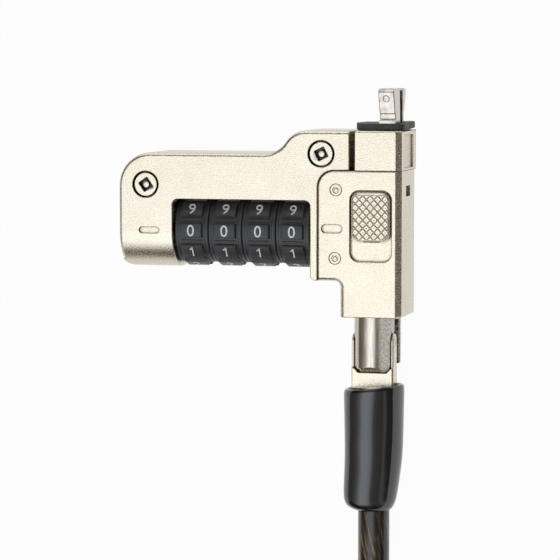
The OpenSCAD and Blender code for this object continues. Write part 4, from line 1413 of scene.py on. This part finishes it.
@dataclass
class Studio:
    """Floor, light and camera."""

    azimuth: float = 14.6
    elevation: float = 4.8
    distance: float = 428.0
    target: tuple = (-14.02, -7.6, 12.4)
    sensor: float = 36.0
    lens: float = 2700 / 560 * 36
    paper: str = "#F4F3F1"
    paper_glow: float = 0.96  # how far the paper shows as white; the rest keeps the object's shadow
    dim: str = "#FFF7EC"  # colour of the studio where it is dim
    bright: str = "#F3F8FF"  # and where it is bright

    def camera(self) -> None:
        """Adds the camera, with +Y up in its picture."""
        az, el = math.radians(self.azimuth), math.radians(self.elevation)
        back = Vector((math.sin(az) * math.cos(el), math.sin(el), math.cos(az) * math.cos(el)))
        side = Vector((0, 1, 0)).cross(back).normalized()
        turn = Matrix((side, back.cross(side), back)).transposed().to_4x4()
        data = bpy.data.cameras.new("camera")
        data.lens = self.lens
        data.sensor_width = self.sensor
        data.clip_start = 0.01
        camera = linked(bpy.data.objects.new("camera", data))
        camera.matrix_world = moved(*(Vector(self.target) + self.distance * back)) @ turn
        bpy.context.scene.camera = camera

    def floor(self) -> None:
        """Adds the pale floor, which shows white but keeps a faint shadow."""
        deselect()
        bpy.ops.mesh.primitive_plane_add(size=4, location=(0, 0, -0.0003))
        floor = bpy.context.object
        floor.name = "floor"
        material = bpy.data.materials.new("studio paper")
        material.use_nodes = True
        nodes = Nodes(material.node_tree)
        nodes.tree.nodes.clear()
        ray = nodes.add("LightPath").outputs
        straight = nodes.maths("ADD", ray["Is Camera Ray"], ray["Is Glossy Ray"])
        seen = nodes.maths("ADD", straight, ray["Is Transmission Ray"], clamp=True)
        share = nodes.maths("MULTIPLY", seen, self.paper_glow)
        paper = nodes.add("BsdfDiffuse", Color=linear(self.paper)).outputs[0]
        glow = nodes.add("Emission", Color=(1, 1, 1, 1), Strength=1.0).outputs[0]
        mixed = nodes.add("MixShader", Fac=share, i1=paper, i2=glow).outputs[0]
        nodes.add("OutputMaterial", Surface=mixed)
        floor.data.materials.append(material)

    def world(self) -> None:
        """Makes the studio round the object: bright and cool in front, dim and warm elsewhere.

        The brightness of a direction is the product of a ramp over its sideways part and one over
        its upward part.
        """
        world = bpy.data.worlds.new("studio")
        bpy.context.scene.world = world
        world.use_nodes = True
        nodes = Nodes(world.node_tree)
        nodes.tree.nodes.clear()
        way = nodes.add("TexCoord").outputs["Generated"]
        parts = nodes.add("SeparateXYZ", Vector=way).outputs
        light = nodes.maths(
            "MULTIPLY",
            self.brightness(nodes, parts[0], SIDEWAYS),
            self.brightness(nodes, parts[1], UPWARDS),
        )
        strength = nodes.maths("MULTIPLY", light, STUDIO_LEVEL)
        tint = nodes.ramp(light, (0.1, self.dim), (0.7, self.bright))
        lit = nodes.add("Background", Color=tint, Strength=strength).outputs[0]
        nodes.add("OutputWorld", Surface=lit)

    def brightness(self, nodes: Nodes, part: Socket, stops: list) -> Socket:
        """Turns a direction's part into an angle and reads a brightness for it.

        Args:
            nodes: the world's nodes.
            part: the direction's part along one axis.
            stops: angles in degrees, each with its brightness.

        Returns:
            The brightness.
        """
        angle = nodes.maths("ARCSINE", part)
        place = nodes.spread(angle, (-math.pi / 2, math.pi / 2))
        return nodes.ramp(place, *[((a + 90) / 180, v) for a, v in stops])


# ---------------------------------------------------------------- the whole lock


def dress_inner(frame: dict, finishes: dict[str, Material]) -> None:
    """Gives the CAD nodes that stay their finishes.

    Args:
        finishes: material by slot.
    """
    slots = {s["node"]: s["material_slot"] for s in frame["record"]["subparts"]}
    for node, piece in frame["nodes"].items():
        dress(piece, finishes[slots[node]])


def main() -> None:
    """Builds and dresses the whole lock."""
    logging.basicConfig(level=logging.INFO, format="%(message)s", stream=sys.stdout)
    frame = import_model()

    even = {"stretch": (1, 1, 1)}  # no direction in the scratches
    nickel = SatinNickel("satin nickel plate").build()
    fine = SatinNickel("satin nickel plate, small pieces", reach=0.14).build()
    polished = TurnedSteel("polished steel", reach=0.2, scuffed=(1.0, 1.9)).build()
    stamped = TurnedSteel(
        "stamped steel", scratched="#A39B93", reach=0.25, roughness=0.2, scratch=0.9, **even
    ).build()
    # Dark steel that paints the shade behind the barrel onto its tongue
    tongue_shade = TurnedSteel("dark steel for painted tongue shade", colour="#3A342C", roughness=0.4, **even).build()
    # Dark steel that paints the shade down in the screws' sockets
    socket_shade = TurnedSteel(
        "dark steel for painted socket shade", scratched="#5A544E", dirt="#0A0807", reach=1.0, roughness=0.3, **even
    ).build()
    plastic = MouldedPlastic("moulded acetal").build()
    rubber = MouldedPlastic(
        "moulded rubber", colour="#343434", dusty="#4C4A47", roughness=0.6, grain=0.3
    ).build()
    vinyl = DippedVinyl("dipped vinyl").build()
    paint = DigitPaint("digit paint").build()
    cable = SheathedCable("vinyl over steel strands").build()
    strap = WovenStrap("woven strap").build()

    studio = Studio()
    studio.camera()
    by_slot = {"nickel": nickel, "steel": stamped, "dial_plastic": plastic, "rubber": rubber}
    dress_inner(frame, {**by_slot, "cable_sheath": cable})
    Cable().build(cable, stamped, strap)
    housing = Housing(frame)
    housing.castings(nickel)
    housing.contact_pad(rubber)
    housing.screws(nickel, fine, socket_shade)
    Tip(frame).build(stamped)
    SliderButton(frame).build(fine)
    return_spring(frame, stamped)
    Dials().build(plastic, paint)
    swivel = Swivel(frame)
    swivel.metal(polished, fine, tongue_shade)
    swivel.boot(vinyl)
    studio.floor()
    studio.world()
    bpy.context.scene.view_settings.view_transform = "Standard"


if __name__ == "__main__":
    main()
